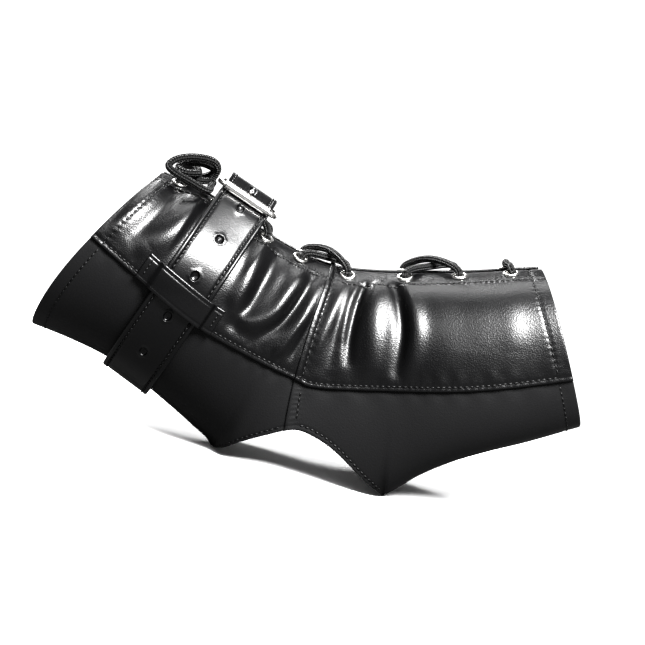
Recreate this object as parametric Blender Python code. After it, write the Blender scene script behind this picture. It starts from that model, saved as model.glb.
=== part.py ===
"""An open-toe, open-heel lace-up boxing boot in black leather, lying empty on a flat surface.

It rests on the rear rim of its cuff and on the rear edge of its sole. +X points to the toes,
+Z is up, and the near side of the boot is at -Y. Lengths are in metres.
"""

import math

import bmesh
import bpy
from mathutils import Matrix, Vector

MM = 0.001

# Overall sizes of the leather shell.
SHELL_LENGTH = 0.3147
SHELL_HEIGHT = 0.1444
CUFF_WIDTH = 0.102
ANKLE_WIDTH = 0.082
BALL_WIDTH = 0.098
TOE_WIDTH = 0.094
SOLE_FLATNESS = 0.8

# Leather.
LEATHER = 0.0015
LAYER_GAP = 0.0005
FIT_GAP = 0.0003
SEAM_GAP = 0.0004
SEAM_LAP = 0.008
CUFF_CURVE = 0.0055
LACING_HALF_GAP = 0.0075
FACING_WIDTH = 0.022
TONGUE_HALF_WIDTH = 0.026

# Eyelets and lace.
LACE_DIAMETER = 0.0042
LACE_RISE = 0.0012
EYELET_BORE = 0.0052
EYELET_OUTER = 0.0092
EYELET_WALL = 0.0004
EYELET_LIP = 0.0006
EYELET_INSET = 0.0065
EYELET_STATIONS = (14.9, 13.0, 11.0, 9.0, 6.05, 4.45, 2.35, 0.8)
AGLET_LENGTH = 0.018

# Strap, belt loops and buckle.
STRAP_WIDTH = 0.031
STRAP_THICKNESS = 0.0018
STRAP_STATION = 3.1
STRAP_HOLE = 0.0042
STRAP_HOLE_PITCH = 0.0254
STRAP_HOLE_SHIFT = 0.0078
OVAL = 0.0010
PRONG_HOLE_LENGTH = 0.0136
PRONG_HOLE_MIDDLE = -0.0046
PRONG_SLOT_LENGTH = 0.0170
LOOP_WIDTH = 0.015
LOOP_ABOVE_SEAM = 0.0075
LOOP_END = 0.0105
BUCKLE_WIRE = 0.0030
BUCKLE_REACH = 0.026
BUCKLE_SIDE_CLEARANCE = 0.0012
ROLLER_DIAMETER = 0.0055
ROLLER_CLEARANCE = 0.0003
PRONG_WIRE = 0.0024
BUCKLE_CORNER = 0.0035
BUCKLE_RISE = 0.0118

# Side view of the shell on its standard size, in millimetres from the sole's rear edge:
# front x, front z, back x, back z, one station after another from the cuff to the toe opening.
STATIONS = (
    (-166.9, 144.4, -218.5, 44.3),
    (-152.0, 141.8, -197.2, 41.2),
    (-137.4, 138.2, -175.9, 36.6),
    (-122.0, 133.0, -160.2, 30.6),
    (-107.0, 127.4, -145.5, 24.0),
    (-93.5, 123.0, -131.0, 16.6),
    (-79.6, 119.4, -117.4, 9.2),
    (-70.5, 117.6, -103.5, 0.0),
    (-61.5, 116.8, -95.5, -20.0),
    (-50.5, 117.2, -68.0, -36.0),
    (-35.0, 119.6, -30.0, -24.0),
    (-19.4, 122.8, 0.0, 0.0),
    (-4.6, 126.4, 15.4, 15.4),
    (10.2, 130.0, 31.2, 27.6),
    (25.0, 134.2, 49.5, 38.4),
    (39.5, 138.8, 70.0, 49.2),
    (55.5, 143.5, 96.2, 64.5),
)
STANDARD_LENGTH = 314.7
STANDARD_HEIGHT = 144.4
LAST_STATION = len(STATIONS) - 1

# Side-view lines on the shell, in the same millimetres.
SIDE_SEAM = (
    (-204.0, 111.0),
    (-180.0, 98.5),
    (-128.0, 72.0),
    (-96.0, 61.5),
    (-68.0, 55.0),
    (-52.0, 53.0),
    (-5.0, 63.5),
    (40.0, 76.5),
    (92.0, 96.0),
)
HEEL_RIM = (
    (-103.5, 0.0),
    (-97.0, 4.5),
    (-86.0, 13.0),
    (-72.0, 21.5),
    (-60.0, 27.0),
    (-47.0, 25.5),
    (-33.0, 19.5),
    (-14.0, 7.5),
    (0.0, 0.0),
)
RIM_START = 7
RIM_END = 11
ANKLE_SEAM_FRONT = 8.1
ANKLE_SEAM_RIM = 8.9


def clear_scene():
    for thing in list(bpy.data.objects):
        bpy.data.objects.remove(thing, do_unlink=True)


def material(name, colour, roughness, metallic=0.0):
    finish = bpy.data.materials.new(name)
    finish.use_nodes = True
    shader = finish.node_tree.nodes["Principled BSDF"]
    shader.inputs["Base Color"].default_value = (*colour, 1.0)
    shader.inputs["Roughness"].default_value = roughness
    shader.inputs["Metallic"].default_value = metallic
    finish.diffuse_color = (*colour, 1.0)
    return finish


def place(name, mesh, finish, matrix=None):
    piece = bpy.data.objects.new(name, mesh)
    bpy.context.scene.collection.objects.link(piece)
    if matrix is not None:
        piece.matrix_world = matrix
    mesh.materials.append(finish)
    return piece


def faces_out(solid):
    bmesh.ops.recalc_face_normals(solid, faces=solid.faces)
    if solid.calc_volume(signed=True) < 0:
        bmesh.ops.reverse_faces(solid, faces=solid.faces)


def smooth(mesh):
    mesh.shade_smooth()
    mesh.set_sharp_from_angle(angle=math.radians(40))


# The boot's form: a closed section at every station, leaning from the front line to the back line.


def through(points, t):
    """A smooth curve through the points, with t counting them."""
    last = len(points) - 1
    i = min(max(int(math.floor(t)), 0), last - 1)
    f = t - i
    knots = [Vector(points[min(max(k, 0), last)]) for k in (i - 1, i, i + 1, i + 2)]
    if i == 0:
        knots[0] = 2 * knots[1] - knots[2]
    if i == last - 1:
        knots[3] = 2 * knots[2] - knots[1]
    a, b, c, d = knots
    return 0.5 * (
        2 * b + (c - a) * f + (2 * a - 5 * b + 4 * c - d) * f * f + (3 * b - a - 3 * c + d) * f**3
    )


def stretched(point):
    """A side-view point in metres on this boot's length and height."""
    x, z = point
    return Vector((x / STANDARD_LENGTH * SHELL_LENGTH, z / STANDARD_HEIGHT * SHELL_HEIGHT))


def section_ends(u):
    x0, z0, x1, z1 = through(STATIONS, u)
    return stretched((x0, z0)), stretched((x1, z1))


def half_width(u):
    knots = (
        (0.0, CUFF_WIDTH / 2),
        (6.8, ANKLE_WIDTH / 2),
        (9.0, ANKLE_WIDTH / 2),
        (13.5, BALL_WIDTH / 2),
        (float(LAST_STATION), TOE_WIDTH / 2),
    )
    for (u0, w0), (u1, w1) in zip(knots, knots[1:]):
        if u <= u1:
            f = min(max((u - u0) / (u1 - u0), 0.0), 1.0)
            return w0 + (w1 - w0) * f * f * (3 - 2 * f)
    return knots[-1][1]


def down_at(u, v):
    """How far down the section a place lies, from 0 at the front to 1 at the back. The sole is flat."""
    rise = (1 + math.cos(math.pi * v)) / 2
    flatness = SOLE_FLATNESS * min(max((u - 8.0) / 2.5, 0.0), 1.0)
    return 1 - rise ** (1 + flatness * (1 - rise))


def v_down(u, down):
    """The near side's v at this share of the way down."""
    low, high = 0.0, 1.0
    for _ in range(30):
        middle = (low + high) / 2
        if down_at(u, middle) < down:
            low = middle
        else:
            high = middle
    return (low + high) / 2


def form(u, v):
    """A point on the form: v is 0 at the front, 1 at the back, and 0 to 1 is the near side."""
    front, back = section_ends(u)
    angle = math.pi * v
    down = down_at(u, v)
    fullness = 0.92 - 0.14 * down * min(max((u - 6) / 6, 0.0), 1.0)
    side = math.copysign(abs(math.sin(angle)) ** fullness, math.sin(angle))
    spot = front.lerp(back, down)
    return Vector((spot.x, -half_width(u) * side, spot.y))


def outward(u, v):
    along = form(u + 0.02, v) - form(u - 0.02, v)
    across = form(u, v + 0.004) - form(u, v - 0.004)
    return across.cross(along).normalized()


def over(u, v, height):
    return form(u, v) + outward(u, v) * height


def side_fraction(u, line):
    """Where a side-view line crosses the section at u, as v."""
    front, back = section_ends(u)
    lean = back - front
    steps = 12 * (len(line) - 1)
    before = None
    for k in range(steps + 1):
        spot = stretched(through(line, k / 12)) - front
        side = lean.x * spot.y - lean.y * spot.x
        if before is not None and side * before[0] <= 0 and side != before[0]:
            f = before[0] / (before[0] - side)
            hit = before[1].lerp(spot, f)
            return v_down(u, hit.dot(lean) / lean.length_squared)
        before = (side, spot)
    ends = (stretched(line[0]) - front, stretched(line[-1]) - front)
    spot = min(ends, key=lambda end: abs(lean.x * end.y - lean.y * end.x))
    return v_down(u, spot.dot(lean) / lean.length_squared)


def seam_v(u):
    return side_fraction(u, SIDE_SEAM)


def rim_v(u):
    if u <= RIM_START or u >= RIM_END:
        return 1.0
    return side_fraction(u, HEEL_RIM)


def v_at(u, width):
    """v on the near side, in front of the widest place, where the form is this far from its middle."""
    low, high = 0.0, 0.5
    for _ in range(30):
        middle = (low + high) / 2
        if -form(u, middle).y < width:
            low = middle
        else:
            high = middle
    return (low + high) / 2


def v_step(u, v, distance):
    """How much v changes over a distance round the section."""
    around = (form(u, v + 0.01) - form(u, v - 0.01)).length / 0.02
    return distance / around


def u_step(u, v, distance):
    along = (form(u + 0.05, v) - form(u - 0.05, v)).length / 0.1
    return distance / along


def ankle_seam(v):
    f = min(max(v / rim_v(ANKLE_SEAM_RIM), 0.0), 1.0)
    return ANKLE_SEAM_FRONT + (ANKLE_SEAM_RIM - ANKLE_SEAM_FRONT) * f * f


# Leather pieces: a flat pattern in (u, v), given a thickness and laid on the form.


def pattern_grid(flat, start, end, low, high, steps_u, steps_v, row=None):
    """A grid between u = start(v) and end(v), and v = low(u) and high(u).

    A row, if given, is a step number and the u that it falls on.
    """
    made = bmesh.ops.create_grid(flat, x_segments=steps_u, y_segments=steps_v, size=0.5)
    for corner in made["verts"]:
        s, t = corner.co.x + 0.5, corner.co.y + 0.5
        v = 0.5
        for _ in range(6):
            u = start(v) + (end(v) - start(v)) * s
            if row:
                share, station = row[0] / steps_u, row[1]
                if s <= share + 1e-6:
                    u = start(v) + (station - start(v)) * s / share
                else:
                    u = station + (end(v) - station) * (s - share) / (1 - share)
            v = low(u) + (high(u) - low(u)) * t
        corner.co = (u, v, 0.0)


def mirror_pattern(flat):
    """The same pattern on the far side."""
    for corner in flat.verts:
        corner.co.y = 2.0 - corner.co.y


def laid_on_form(name, flat, finish, bottom, top):
    """Gives the pattern its thickness between two heights over the form."""
    bmesh.ops.remove_doubles(flat, verts=flat.verts, dist=1e-6)
    grown = bmesh.ops.extrude_face_region(flat, geom=flat.faces[:])
    for corner in grown["geom"]:
        if isinstance(corner, bmesh.types.BMVert):
            corner.co.z = 1.0
    for corner in flat.verts:
        u, v, layer = corner.co
        corner.co = over(u, v, bottom + (top - bottom) * layer)
    faces_out(flat)
    mesh = bpy.data.meshes.new(name)
    flat.to_mesh(mesh)
    flat.free()
    smooth(mesh)
    return place(name, mesh, finish)


UPPER_BOTTOM = LAYER_GAP
UPPER_TOP = LAYER_GAP + LEATHER
LOWER_BOTTOM = -LEATHER
FACING_TOP = 0.0
FACING_BOTTOM = -LEATHER
EYELET_SEAT = UPPER_TOP + LAYER_GAP
EYELET_CLINCH = FACING_BOTTOM - LAYER_GAP
LACE_OUT = EYELET_SEAT + EYELET_LIP + LAYER_GAP + LACE_DIAMETER / 2
LACE_IN = EYELET_CLINCH - EYELET_LIP - FIT_GAP - LACE_DIAMETER / 2
TONGUE_TOP = LACE_IN - LACE_DIAMETER / 2 - LAYER_GAP
STRAP_BOTTOM = UPPER_TOP + LAYER_GAP
STRAP_MIDDLE = STRAP_BOTTOM + STRAP_THICKNESS / 2
STRAP_STEP = STRAP_THICKNESS + LAYER_GAP


def edge_v(u):
    return v_at(u, LACING_HALF_GAP)


def facing_v(u):
    return edge_v(u) + v_step(u, edge_v(u) + 0.03, FACING_WIDTH)


def upper_panel(name, finish, start, end, steps_u, far):
    flat = bmesh.new()
    pattern_grid(flat, start, end, edge_v, seam_v, steps_u, 10)
    if far:
        mirror_pattern(flat)
    return laid_on_form(name, flat, finish, UPPER_BOTTOM, UPPER_TOP)


def lower_top(u):
    return seam_v(u) - v_step(u, seam_v(u), SEAM_LAP)


def lower_panel(name, finish, start, end, steps_u, row):
    """Both sides of a lower panel, joined under the leg or the foot where there is no opening."""
    flat = bmesh.new()
    far = bmesh.new()
    for half in (flat, far):
        pattern_grid(half, start, end, lower_top, rim_v, steps_u, 7, row)
    mirror_pattern(far)
    bmesh.ops.reverse_faces(far, faces=far.faces)
    half_mesh = bpy.data.meshes.new(name + "_half")
    far.to_mesh(half_mesh)
    far.free()
    flat.from_mesh(half_mesh)
    bpy.data.meshes.remove(half_mesh)
    return laid_on_form(name, flat, finish, LOWER_BOTTOM, 0.0)


def cut(piece, cutter):
    """Takes the cutter's shape out of the piece."""
    cutter.hide_render = True
    cutter.display_type = "WIRE"
    hole = piece.modifiers.new("cut_" + cutter.name, "BOOLEAN")
    hole.operation = "DIFFERENCE"
    hole.solver = "EXACT"
    hole.object = cutter


def turned_towards(spot, axis, across):
    """A frame at the spot with +Z along the axis and +X close to across."""
    z = axis.normalized()
    y = z.cross(across).normalized()
    x = y.cross(z)
    return Matrix.Translation(spot) @ Matrix((x, y, z)).transposed().to_4x4()


def cylinder(name, diameter, length, segments=16):
    solid = bmesh.new()
    bmesh.ops.create_cone(
        solid,
        cap_ends=True,
        segments=segments,
        radius1=diameter / 2,
        radius2=diameter / 2,
        depth=length,
    )
    mesh = bpy.data.meshes.new(name)
    solid.to_mesh(mesh)
    solid.free()
    return mesh


def turned(name, profile, segments):
    """A closed ring: a profile of (radius, height) points turned once about Z."""
    ring = bmesh.new()
    corners = [ring.verts.new((r, 0.0, h)) for r, h in profile]
    outline = [ring.edges.new((a, b)) for a, b in zip(corners, corners[1:] + corners[:1])]
    bmesh.ops.spin(
        ring,
        geom=corners + outline,
        axis=(0, 0, 1),
        cent=(0, 0, 0),
        angle=math.tau,
        steps=segments,
        use_merge=True,
    )
    faces_out(ring)
    mesh = bpy.data.meshes.new(name)
    ring.to_mesh(mesh)
    ring.free()
    smooth(mesh)
    return mesh


# Eyelets.


def eyelet_mesh():
    bore = EYELET_BORE / 2
    barrel = bore + EYELET_WALL
    lip = EYELET_OUTER / 2
    top = EYELET_SEAT
    low = EYELET_CLINCH
    profile = (
        (bore, low - EYELET_LIP * 0.7),
        (barrel + 0.0012, low - EYELET_LIP * 0.7),
        (barrel + 0.0012, low),
        (barrel, low),
        (barrel, top),
        (lip, top),
        (lip - 0.0004, top + EYELET_LIP * 0.7),
        (bore + 0.0007, top + EYELET_LIP),
        (bore, top + EYELET_LIP * 0.5),
    )
    return turned("eyelet", profile, 14)


def eyelet_spot(row, far):
    """u, v of an eyelet: row 0 is next to the toe opening."""
    u = EYELET_STATIONS[row]
    v = edge_v(u) + v_step(u, edge_v(u) + 0.02, EYELET_INSET)
    return u, (2.0 - v if far else v)


def eyelet_frame(row, far):
    u, v = eyelet_spot(row, far)
    along = form(u + 0.05, v) - form(u - 0.05, v)
    return turned_towards(form(u, v), outward(u, v), along)


def add_eyelets(metal, pieces_near, pieces_far):
    mesh = eyelet_mesh()
    hole = EYELET_BORE + 2 * EYELET_WALL + 2 * FIT_GAP
    for far, pieces in ((False, pieces_near), (True, pieces_far)):
        side = "far" if far else "near"
        for row in range(len(EYELET_STATIONS)):
            frame = eyelet_frame(row, far)
            place(f"eyelet_{side}_{row + 1}", mesh, metal, frame)
            cutter = place(f"eyelet_hole_{side}_{row + 1}", cylinder("eyelet_hole", hole, 0.012), metal, frame)
            foot = EYELET_STATIONS[row] > ANKLE_SEAM_FRONT
            cut(pieces["foot" if foot else "shin"], cutter)
            cut(pieces["facing"], cutter)


# Strap, buckle and belt loops.


def buckle_frame():
    """The buckle's own axes: X up the leg along its bars, Y across the shin, Z off the shin."""
    u = STRAP_STATION
    along = (form(u - 0.8, 0.0) - form(u + 0.8, 0.0)).normalized()
    across = Vector((0.0, -1.0, 0.0))
    off = along.cross(across)
    if off.z < 0:
        across, off = -across, -off
    return Matrix.Translation(form(u, 0.0)) @ Matrix((along, across, off)).transposed().to_4x4()


HEEL_BAR_Y = -BUCKLE_REACH / 2
ROLLER_Y = BUCKLE_REACH / 2
FOLD_RADIUS = BUCKLE_WIRE / 2 + FIT_GAP + STRAP_THICKNESS / 2
ROLLER_UNDER = BUCKLE_RISE - ROLLER_DIAMETER / 2 - FIT_GAP - STRAP_THICKNESS / 2
PRONG_EYE = BUCKLE_WIRE / 2 + FIT_GAP + PRONG_WIRE / 2
TAIL_OVER_BAR = BUCKLE_RISE + PRONG_EYE + PRONG_WIRE / 2 + 2 * FIT_GAP + STRAP_THICKNESS / 2


def strap_route():
    """Places along the strap: ('free', y, z) in the buckle's axes, or ('form', v, height)."""
    first, second, third = (STRAP_MIDDLE + STRAP_STEP * k for k in range(3))
    route = [
        ("form", 1.745, first),
        ("form", 1.800, first),
        ("free", HEEL_BAR_Y - 0.006, BUCKLE_RISE - FOLD_RADIUS - 0.0008),
    ]
    for k in range(7):
        angle = -math.pi / 2 + math.pi * k / 6
        route.append(
            ("free", HEEL_BAR_Y + FOLD_RADIUS * math.cos(angle), BUCKLE_RISE + FOLD_RADIUS * math.sin(angle))
        )
    route += [
        ("free", HEEL_BAR_Y - 0.006, BUCKLE_RISE + FOLD_RADIUS - 0.0012),
        ("form", 1.800, second + 0.0009),
        ("form", 1.745, second + 0.0003),
        ("form", 1.700, first + 0.0004),
        ("form", 1.650, first),
    ]
    route += [("form", 1.60 - 0.05 * k, first) for k in range(28)]
    route += [
        ("form", 0.205, first + 0.0006),
        ("free", ROLLER_Y + 0.0075, ROLLER_UNDER - 0.0022),
        ("free", ROLLER_Y + 0.003, ROLLER_UNDER - 0.0003),
        ("free", ROLLER_Y - 0.001, ROLLER_UNDER + 0.0002),
        ("free", ROLLER_Y - 0.006, ROLLER_UNDER + 0.0018),
        ("free", 0.002, (ROLLER_UNDER + TAIL_OVER_BAR) / 2),
        ("free", HEEL_BAR_Y + 0.007, TAIL_OVER_BAR - 0.0016),
        ("free", HEEL_BAR_Y + 0.002, TAIL_OVER_BAR),
        ("free", HEEL_BAR_Y - 0.003, TAIL_OVER_BAR - 0.0002),
        ("free", HEEL_BAR_Y - 0.0085, TAIL_OVER_BAR - 0.0030),
        ("form", 1.800, third + 0.0026),
        ("form", 1.745, third + 0.0010),
        ("form", 1.700, second + 0.0012),
        ("form", 1.650, second + 0.0004),
    ]
    route += [("form", 1.60 - 0.05 * k, second) for k in range(6)]
    return route


def strap_edges(axes, kind, across, height):
    """The strap's two edge points at one place on its route."""
    if kind == "free":
        return [axes @ Vector((side * STRAP_WIDTH / 2, across, height)) for side in (1, -1)]
    reach = u_step(STRAP_STATION, across, STRAP_WIDTH / 2)
    return [over(STRAP_STATION - side * reach, across, height) for side in (1, -1)]


def strap_mesh(axes):
    """A flat band swept along its route, one closed body."""
    rows = [strap_edges(axes, *place_on_route) for place_on_route in strap_route()]
    band = bmesh.new()
    steps = len(rows) - 1
    made = bmesh.ops.create_grid(band, x_segments=steps, y_segments=1, size=0.5)
    corners = {}
    for corner in made["verts"]:
        k = round((corner.co.x + 0.5) * steps)
        corners[corner] = (k, corner.co.y > 0)
    grown = bmesh.ops.extrude_face_region(band, geom=band.faces[:])
    for corner in [c for c in grown["geom"] if isinstance(c, bmesh.types.BMVert)]:
        k = round((corner.co.x + 0.5) * steps)
        corners[corner] = (k, corner.co.y > 0)
        corner.co.z = 1.0
    for corner, (k, second) in corners.items():
        before = rows[max(k - 1, 0)]
        after = rows[min(k + 1, steps)]
        tangent = (after[second] - before[second]).normalized()
        width = (rows[k][1] - rows[k][0]).normalized()
        up = tangent.cross(width).normalized()
        side = STRAP_THICKNESS / 2 if corner.co.z > 0.5 else -STRAP_THICKNESS / 2
        corner.co = rows[k][second] + up * side
    faces_out(band)
    mesh = bpy.data.meshes.new("ankle_strap")
    band.to_mesh(mesh)
    band.free()
    smooth(mesh)
    return mesh


def strap_cutter(name, spot, up, along, length, depth, finish):
    """An oval punch, longer along the strap than across it."""
    punch = bmesh.new()
    bmesh.ops.create_cone(
        punch, cap_ends=True, segments=12, radius1=STRAP_HOLE / 2, radius2=STRAP_HOLE / 2, depth=depth
    )
    stretch = (length - STRAP_HOLE) / 2
    for corner in punch.verts:
        if abs(corner.co.x) > STRAP_HOLE * 0.05:
            corner.co.x += math.copysign(stretch, corner.co.x)
    mesh = bpy.data.meshes.new(name)
    punch.to_mesh(mesh)
    punch.free()
    return place(name, mesh, finish, turned_towards(spot, up, along))


def add_strap(leather):
    axes = buckle_frame()
    strap = place("ankle_strap", strap_mesh(axes), leather)
    across = axes.to_3x3() @ Vector((0.0, 1.0, 0.0))
    off = axes.to_3x3() @ Vector((0.0, 0.0, 1.0))
    middle = axes @ Vector((0.0, PRONG_HOLE_MIDDLE, (ROLLER_UNDER + TAIL_OVER_BAR) / 2 + STRAP_THICKNESS))
    cut(strap, strap_cutter("prong_hole", middle, off, across, PRONG_HOLE_LENGTH, 4 * STRAP_THICKNESS, leather))
    slot = axes @ Vector((0.0, HEEL_BAR_Y + FOLD_RADIUS * 0.6, BUCKLE_RISE - 0.0006))
    deep = 2 * (FOLD_RADIUS + STRAP_THICKNESS)
    cut(strap, strap_cutter("prong_slot", slot, off, across, PRONG_SLOT_LENGTH, deep, leather))
    upper_hole = axes @ Vector((0.0, ROLLER_Y + 0.0085, ROLLER_UNDER - 0.0026))
    tilt = axes.to_3x3() @ Vector((0.0, 0.4, 1.0))
    long_hole = STRAP_HOLE + OVAL
    cut(strap, strap_cutter("strap_hole_5", upper_hole, tilt, across, long_hole, 2 * STRAP_THICKNESS, leather))
    u = STRAP_STATION
    hole_depth = STRAP_THICKNESS + 2 * (LAYER_GAP - 0.0001)
    for k in range(4):
        v = seam_v(u) + v_step(u, seam_v(u), (k - 1.5) * STRAP_HOLE_PITCH - STRAP_HOLE_SHIFT)
        spot = over(u, v, STRAP_MIDDLE)
        round_leg = form(u, v + 0.01) - form(u, v - 0.01)
        name = f"strap_hole_{k + 1}"
        cut(strap, strap_cutter(name, spot, outward(u, v), round_leg, long_hole, hole_depth, leather))


def bar_curve(name, points, radius, finish, cyclic=False, resolution=2):
    wire = bpy.data.curves.new(name, "CURVE")
    wire.dimensions = "3D"
    wire.bevel_depth = radius
    wire.bevel_resolution = resolution
    wire.use_fill_caps = not cyclic
    line = wire.splines.new("POLY")
    line.points.add(len(points) - 1)
    for knot, point in zip(line.points, points):
        knot.co = (*point, 1.0)
    line.use_cyclic_u = cyclic
    wire.materials.append(finish)
    piece = bpy.data.objects.new(name, wire)
    bpy.context.scene.collection.objects.link(piece)
    return piece


def add_buckle(metal):
    axes = buckle_frame()
    half = STRAP_WIDTH / 2 + BUCKLE_SIDE_CLEARANCE + BUCKLE_WIRE / 2
    outline = []
    for sx, sy, turn in ((1, 1, 0), (-1, 1, 90), (-1, -1, 180), (1, -1, 270)):
        for k in range(4):
            angle = math.radians(turn + 30 * k)
            outline.append(
                Vector(
                    (
                        sx * (half - BUCKLE_CORNER) + BUCKLE_CORNER * math.cos(angle),
                        sy * (BUCKLE_REACH / 2 - BUCKLE_CORNER) + BUCKLE_CORNER * math.sin(angle),
                        0.0,
                    )
                )
            )
    hinge = Matrix.Translation(Vector((0.0, HEEL_BAR_Y, BUCKLE_RISE)))
    moved = [point - Vector((0.0, HEEL_BAR_Y, 0.0)) for point in outline]
    frame = bar_curve("buckle_frame", moved, BUCKLE_WIRE / 2, metal, cyclic=True)
    frame.matrix_world = axes @ hinge
    tube = ROLLER_DIAMETER / 2
    inner = BUCKLE_WIRE / 2 + ROLLER_CLEARANCE
    length = STRAP_WIDTH / 2 - 0.0012
    profile = ((inner, -length), (tube, -length), (tube, length), (inner, length))
    roller_axes = axes @ Matrix.Translation(Vector((0.0, ROLLER_Y, BUCKLE_RISE)))
    roller_axes = roller_axes @ Matrix.Rotation(math.pi / 2, 4, "Y")
    place("buckle_roller", turned("buckle_roller", profile, 18), metal, roller_axes)
    route = []
    for k in range(11):
        angle = math.radians(-45 - 27 * k)
        route.append(Vector((0.0, PRONG_EYE * math.cos(angle), PRONG_EYE * math.sin(angle))))
    over_roller = ROLLER_DIAMETER / 2 + PRONG_WIRE / 2 + FIT_GAP
    route += [
        Vector((0.0, 0.0050, 0.0032)),
        Vector((0.0, 0.0110, 0.0036)),
        Vector((0.0, 0.0180, over_roller - 0.0002)),
        Vector((0.0, BUCKLE_REACH - 0.0010, over_roller + 0.0002)),
        Vector((0.0, BUCKLE_REACH + 0.0030, over_roller - 0.0004)),
    ]
    prong = bar_curve("buckle_prong", route, PRONG_WIRE / 2, metal)
    prong.matrix_world = axes @ hinge


def add_belt_loop(name, leather, far):
    """A leather band over the strap, along the side seam, its two ends turned down to the seam."""
    u = STRAP_STATION
    v_mid = seam_v(u) - v_step(u, seam_v(u), LOOP_ABOVE_SEAM)
    strap_top = STRAP_BOTTOM + STRAP_THICKNESS + (STRAP_STEP if far else 0.0)
    lifted = strap_top + LAYER_GAP
    down = UPPER_TOP + LAYER_GAP
    flat = bmesh.new()
    reach = u_step(u, v_mid, STRAP_WIDTH / 2 + 0.0012)
    end = u_step(u, v_mid, STRAP_WIDTH / 2 + LOOP_END)
    half = v_step(u, v_mid, LOOP_WIDTH / 2)
    heights = (
        (-end, down),
        (-(reach + (end - reach) * 0.35), down),
        (-reach, lifted),
        (-reach * 0.5, lifted + 0.0008),
        (0.0, lifted + 0.0012),
        (reach * 0.5, lifted + 0.0008),
        (reach, lifted),
        (reach + (end - reach) * 0.35, down),
        (end, down),
    )
    steps = len(heights) - 1
    made = bmesh.ops.create_grid(flat, x_segments=steps, y_segments=2, size=0.5)
    bmesh.ops.translate(flat, verts=made["verts"], vec=(0.5, 0.0, 0.0))
    grown = bmesh.ops.extrude_face_region(flat, geom=flat.faces[:])
    bmesh.ops.translate(
        flat, verts=[c for c in grown["geom"] if isinstance(c, bmesh.types.BMVert)], vec=(0.0, 0.0, 1.0)
    )
    for corner in flat.verts:
        step, height = heights[round(corner.co.x * steps)]
        level = height + (LEATHER if corner.co.z > 0.5 else 0.0)
        spot_u = u + step
        spot_v = seam_v(spot_u) - v_step(u, v_mid, LOOP_ABOVE_SEAM) + 2 * half * corner.co.y
        corner.co = over(spot_u, 2.0 - spot_v if far else spot_v, level)
    faces_out(flat)
    mesh = bpy.data.meshes.new(name)
    flat.to_mesh(mesh)
    flat.free()
    smooth(mesh)
    return place(name, mesh, leather)


# The lace.


def lace_spot(row, far, height):
    u, v = eyelet_spot(row, far)
    return over(u, v, height)


def laced_half(near_first):
    """From the bar over the first row up to the last row, one side's strand."""
    far = not near_first
    points = []
    for row in range(0, len(EYELET_STATIONS), 2):
        points.append(lace_spot(row, far, LACE_OUT))
        points.append(lace_spot(row, far, LACE_IN))
        points.append(lace_spot(row + 1, far, LACE_IN))
        points.append(lace_spot(row + 1, far, LACE_OUT))
        if row + 2 < len(EYELET_STATIONS):
            here = lace_spot(row + 1, far, LACE_OUT)
            there = lace_spot(row + 2, not far, LACE_OUT)
            lift = LACE_RISE
            if near_first == (row % 4 == 0):
                lift += LACE_DIAMETER + FIT_GAP
            u = (EYELET_STATIONS[row + 1] + EYELET_STATIONS[row + 2]) / 2
            middle = here.lerp(there, 0.5) + outward(u, 0.0) * lift
            points.append(middle)
        far = not far
    return points


# The bow's two halves, each from the last eyelet to the lace's end, in millimetres.
BOW_NEAR = (
    (-149.0, -11.0, 146.8),
    (-140.5, -7.0, 147.5),
    (-137.6, -7.0, 150.9),
    (-136.6, -11.0, 156.6),
    (-141.1, -15.0, 159.8),
    (-150.7, -19.0, 159.3),
    (-159.2, -23.0, 156.2),
    (-162.7, -26.0, 151.6),
    (-157.8, -28.0, 148.6),
    (-149.0, -28.0, 146.1),
    (-141.2, -26.0, 143.6),
    (-137.9, -20.0, 143.4),
    (-138.0, -11.0, 145.6),
    (-138.0, -2.0, 146.6),
    (-138.2, 6.0, 146.5),
    (-140.0, 14.0, 147.0),
    (-146.0, 24.0, 146.5),
    (-151.5, 35.5, 140.5),
    (-157.5, 43.8, 132.0),
    (-163.5, 49.8, 120.5),
)
BOW_FAR = (
    (-146.8, 6.0, 147.4),
    (-140.2, 1.0, 151.0),
    (-138.5, -4.0, 154.6),
    (-144.3, -8.0, 156.4),
    (-151.1, -12.0, 155.8),
    (-156.7, -16.0, 153.3),
    (-157.3, -19.5, 150.7),
    (-152.2, -20.5, 150.0),
    (-147.0, -17.0, 151.0),
    (-146.5, -9.5, 150.8),
    (-147.5, -1.0, 151.6),
    (-150.5, 12.0, 152.5),
    (-156.0, 20.0, 150.5),
    (-162.0, 29.0, 145.0),
    (-166.0, 36.0, 138.0),
)


def bow_half(last_point, route):
    """A smooth run through the route's points, which starts over the last eyelet."""
    points = [Vector(last_point)] + [Vector(point) * MM for point in route]
    return [through(points, t) for t in range(1, len(points))]


def add_aglet(name, plastic, before, end):
    """A tip that continues the lace beyond its end."""
    run = (end - before).normalized()
    middle = end + run * (AGLET_LENGTH / 2 + FIT_GAP)
    tip = cylinder(name, LACE_DIAMETER, AGLET_LENGTH, 12)
    smooth(tip)
    place(name, tip, plastic, turned_towards(middle, run, Vector((1.0, 0.0, 0.0))))


def add_lace(fabric, plastic):
    near = laced_half(True)
    far = laced_half(False)
    bar = near[0].lerp(far[0], 0.5)
    near += bow_half(near[-1], BOW_FAR if len(EYELET_STATIONS) // 2 % 2 else BOW_NEAR)
    far += bow_half(far[-1], BOW_NEAR if len(EYELET_STATIONS) // 2 % 2 else BOW_FAR)
    route = list(reversed(far)) + [bar] + near
    bar_curve("lace", route, LACE_DIAMETER / 2, fabric)
    add_aglet("aglet_1", plastic, route[1], route[0])
    add_aglet("aglet_2", plastic, route[-2], route[-1])


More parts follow.
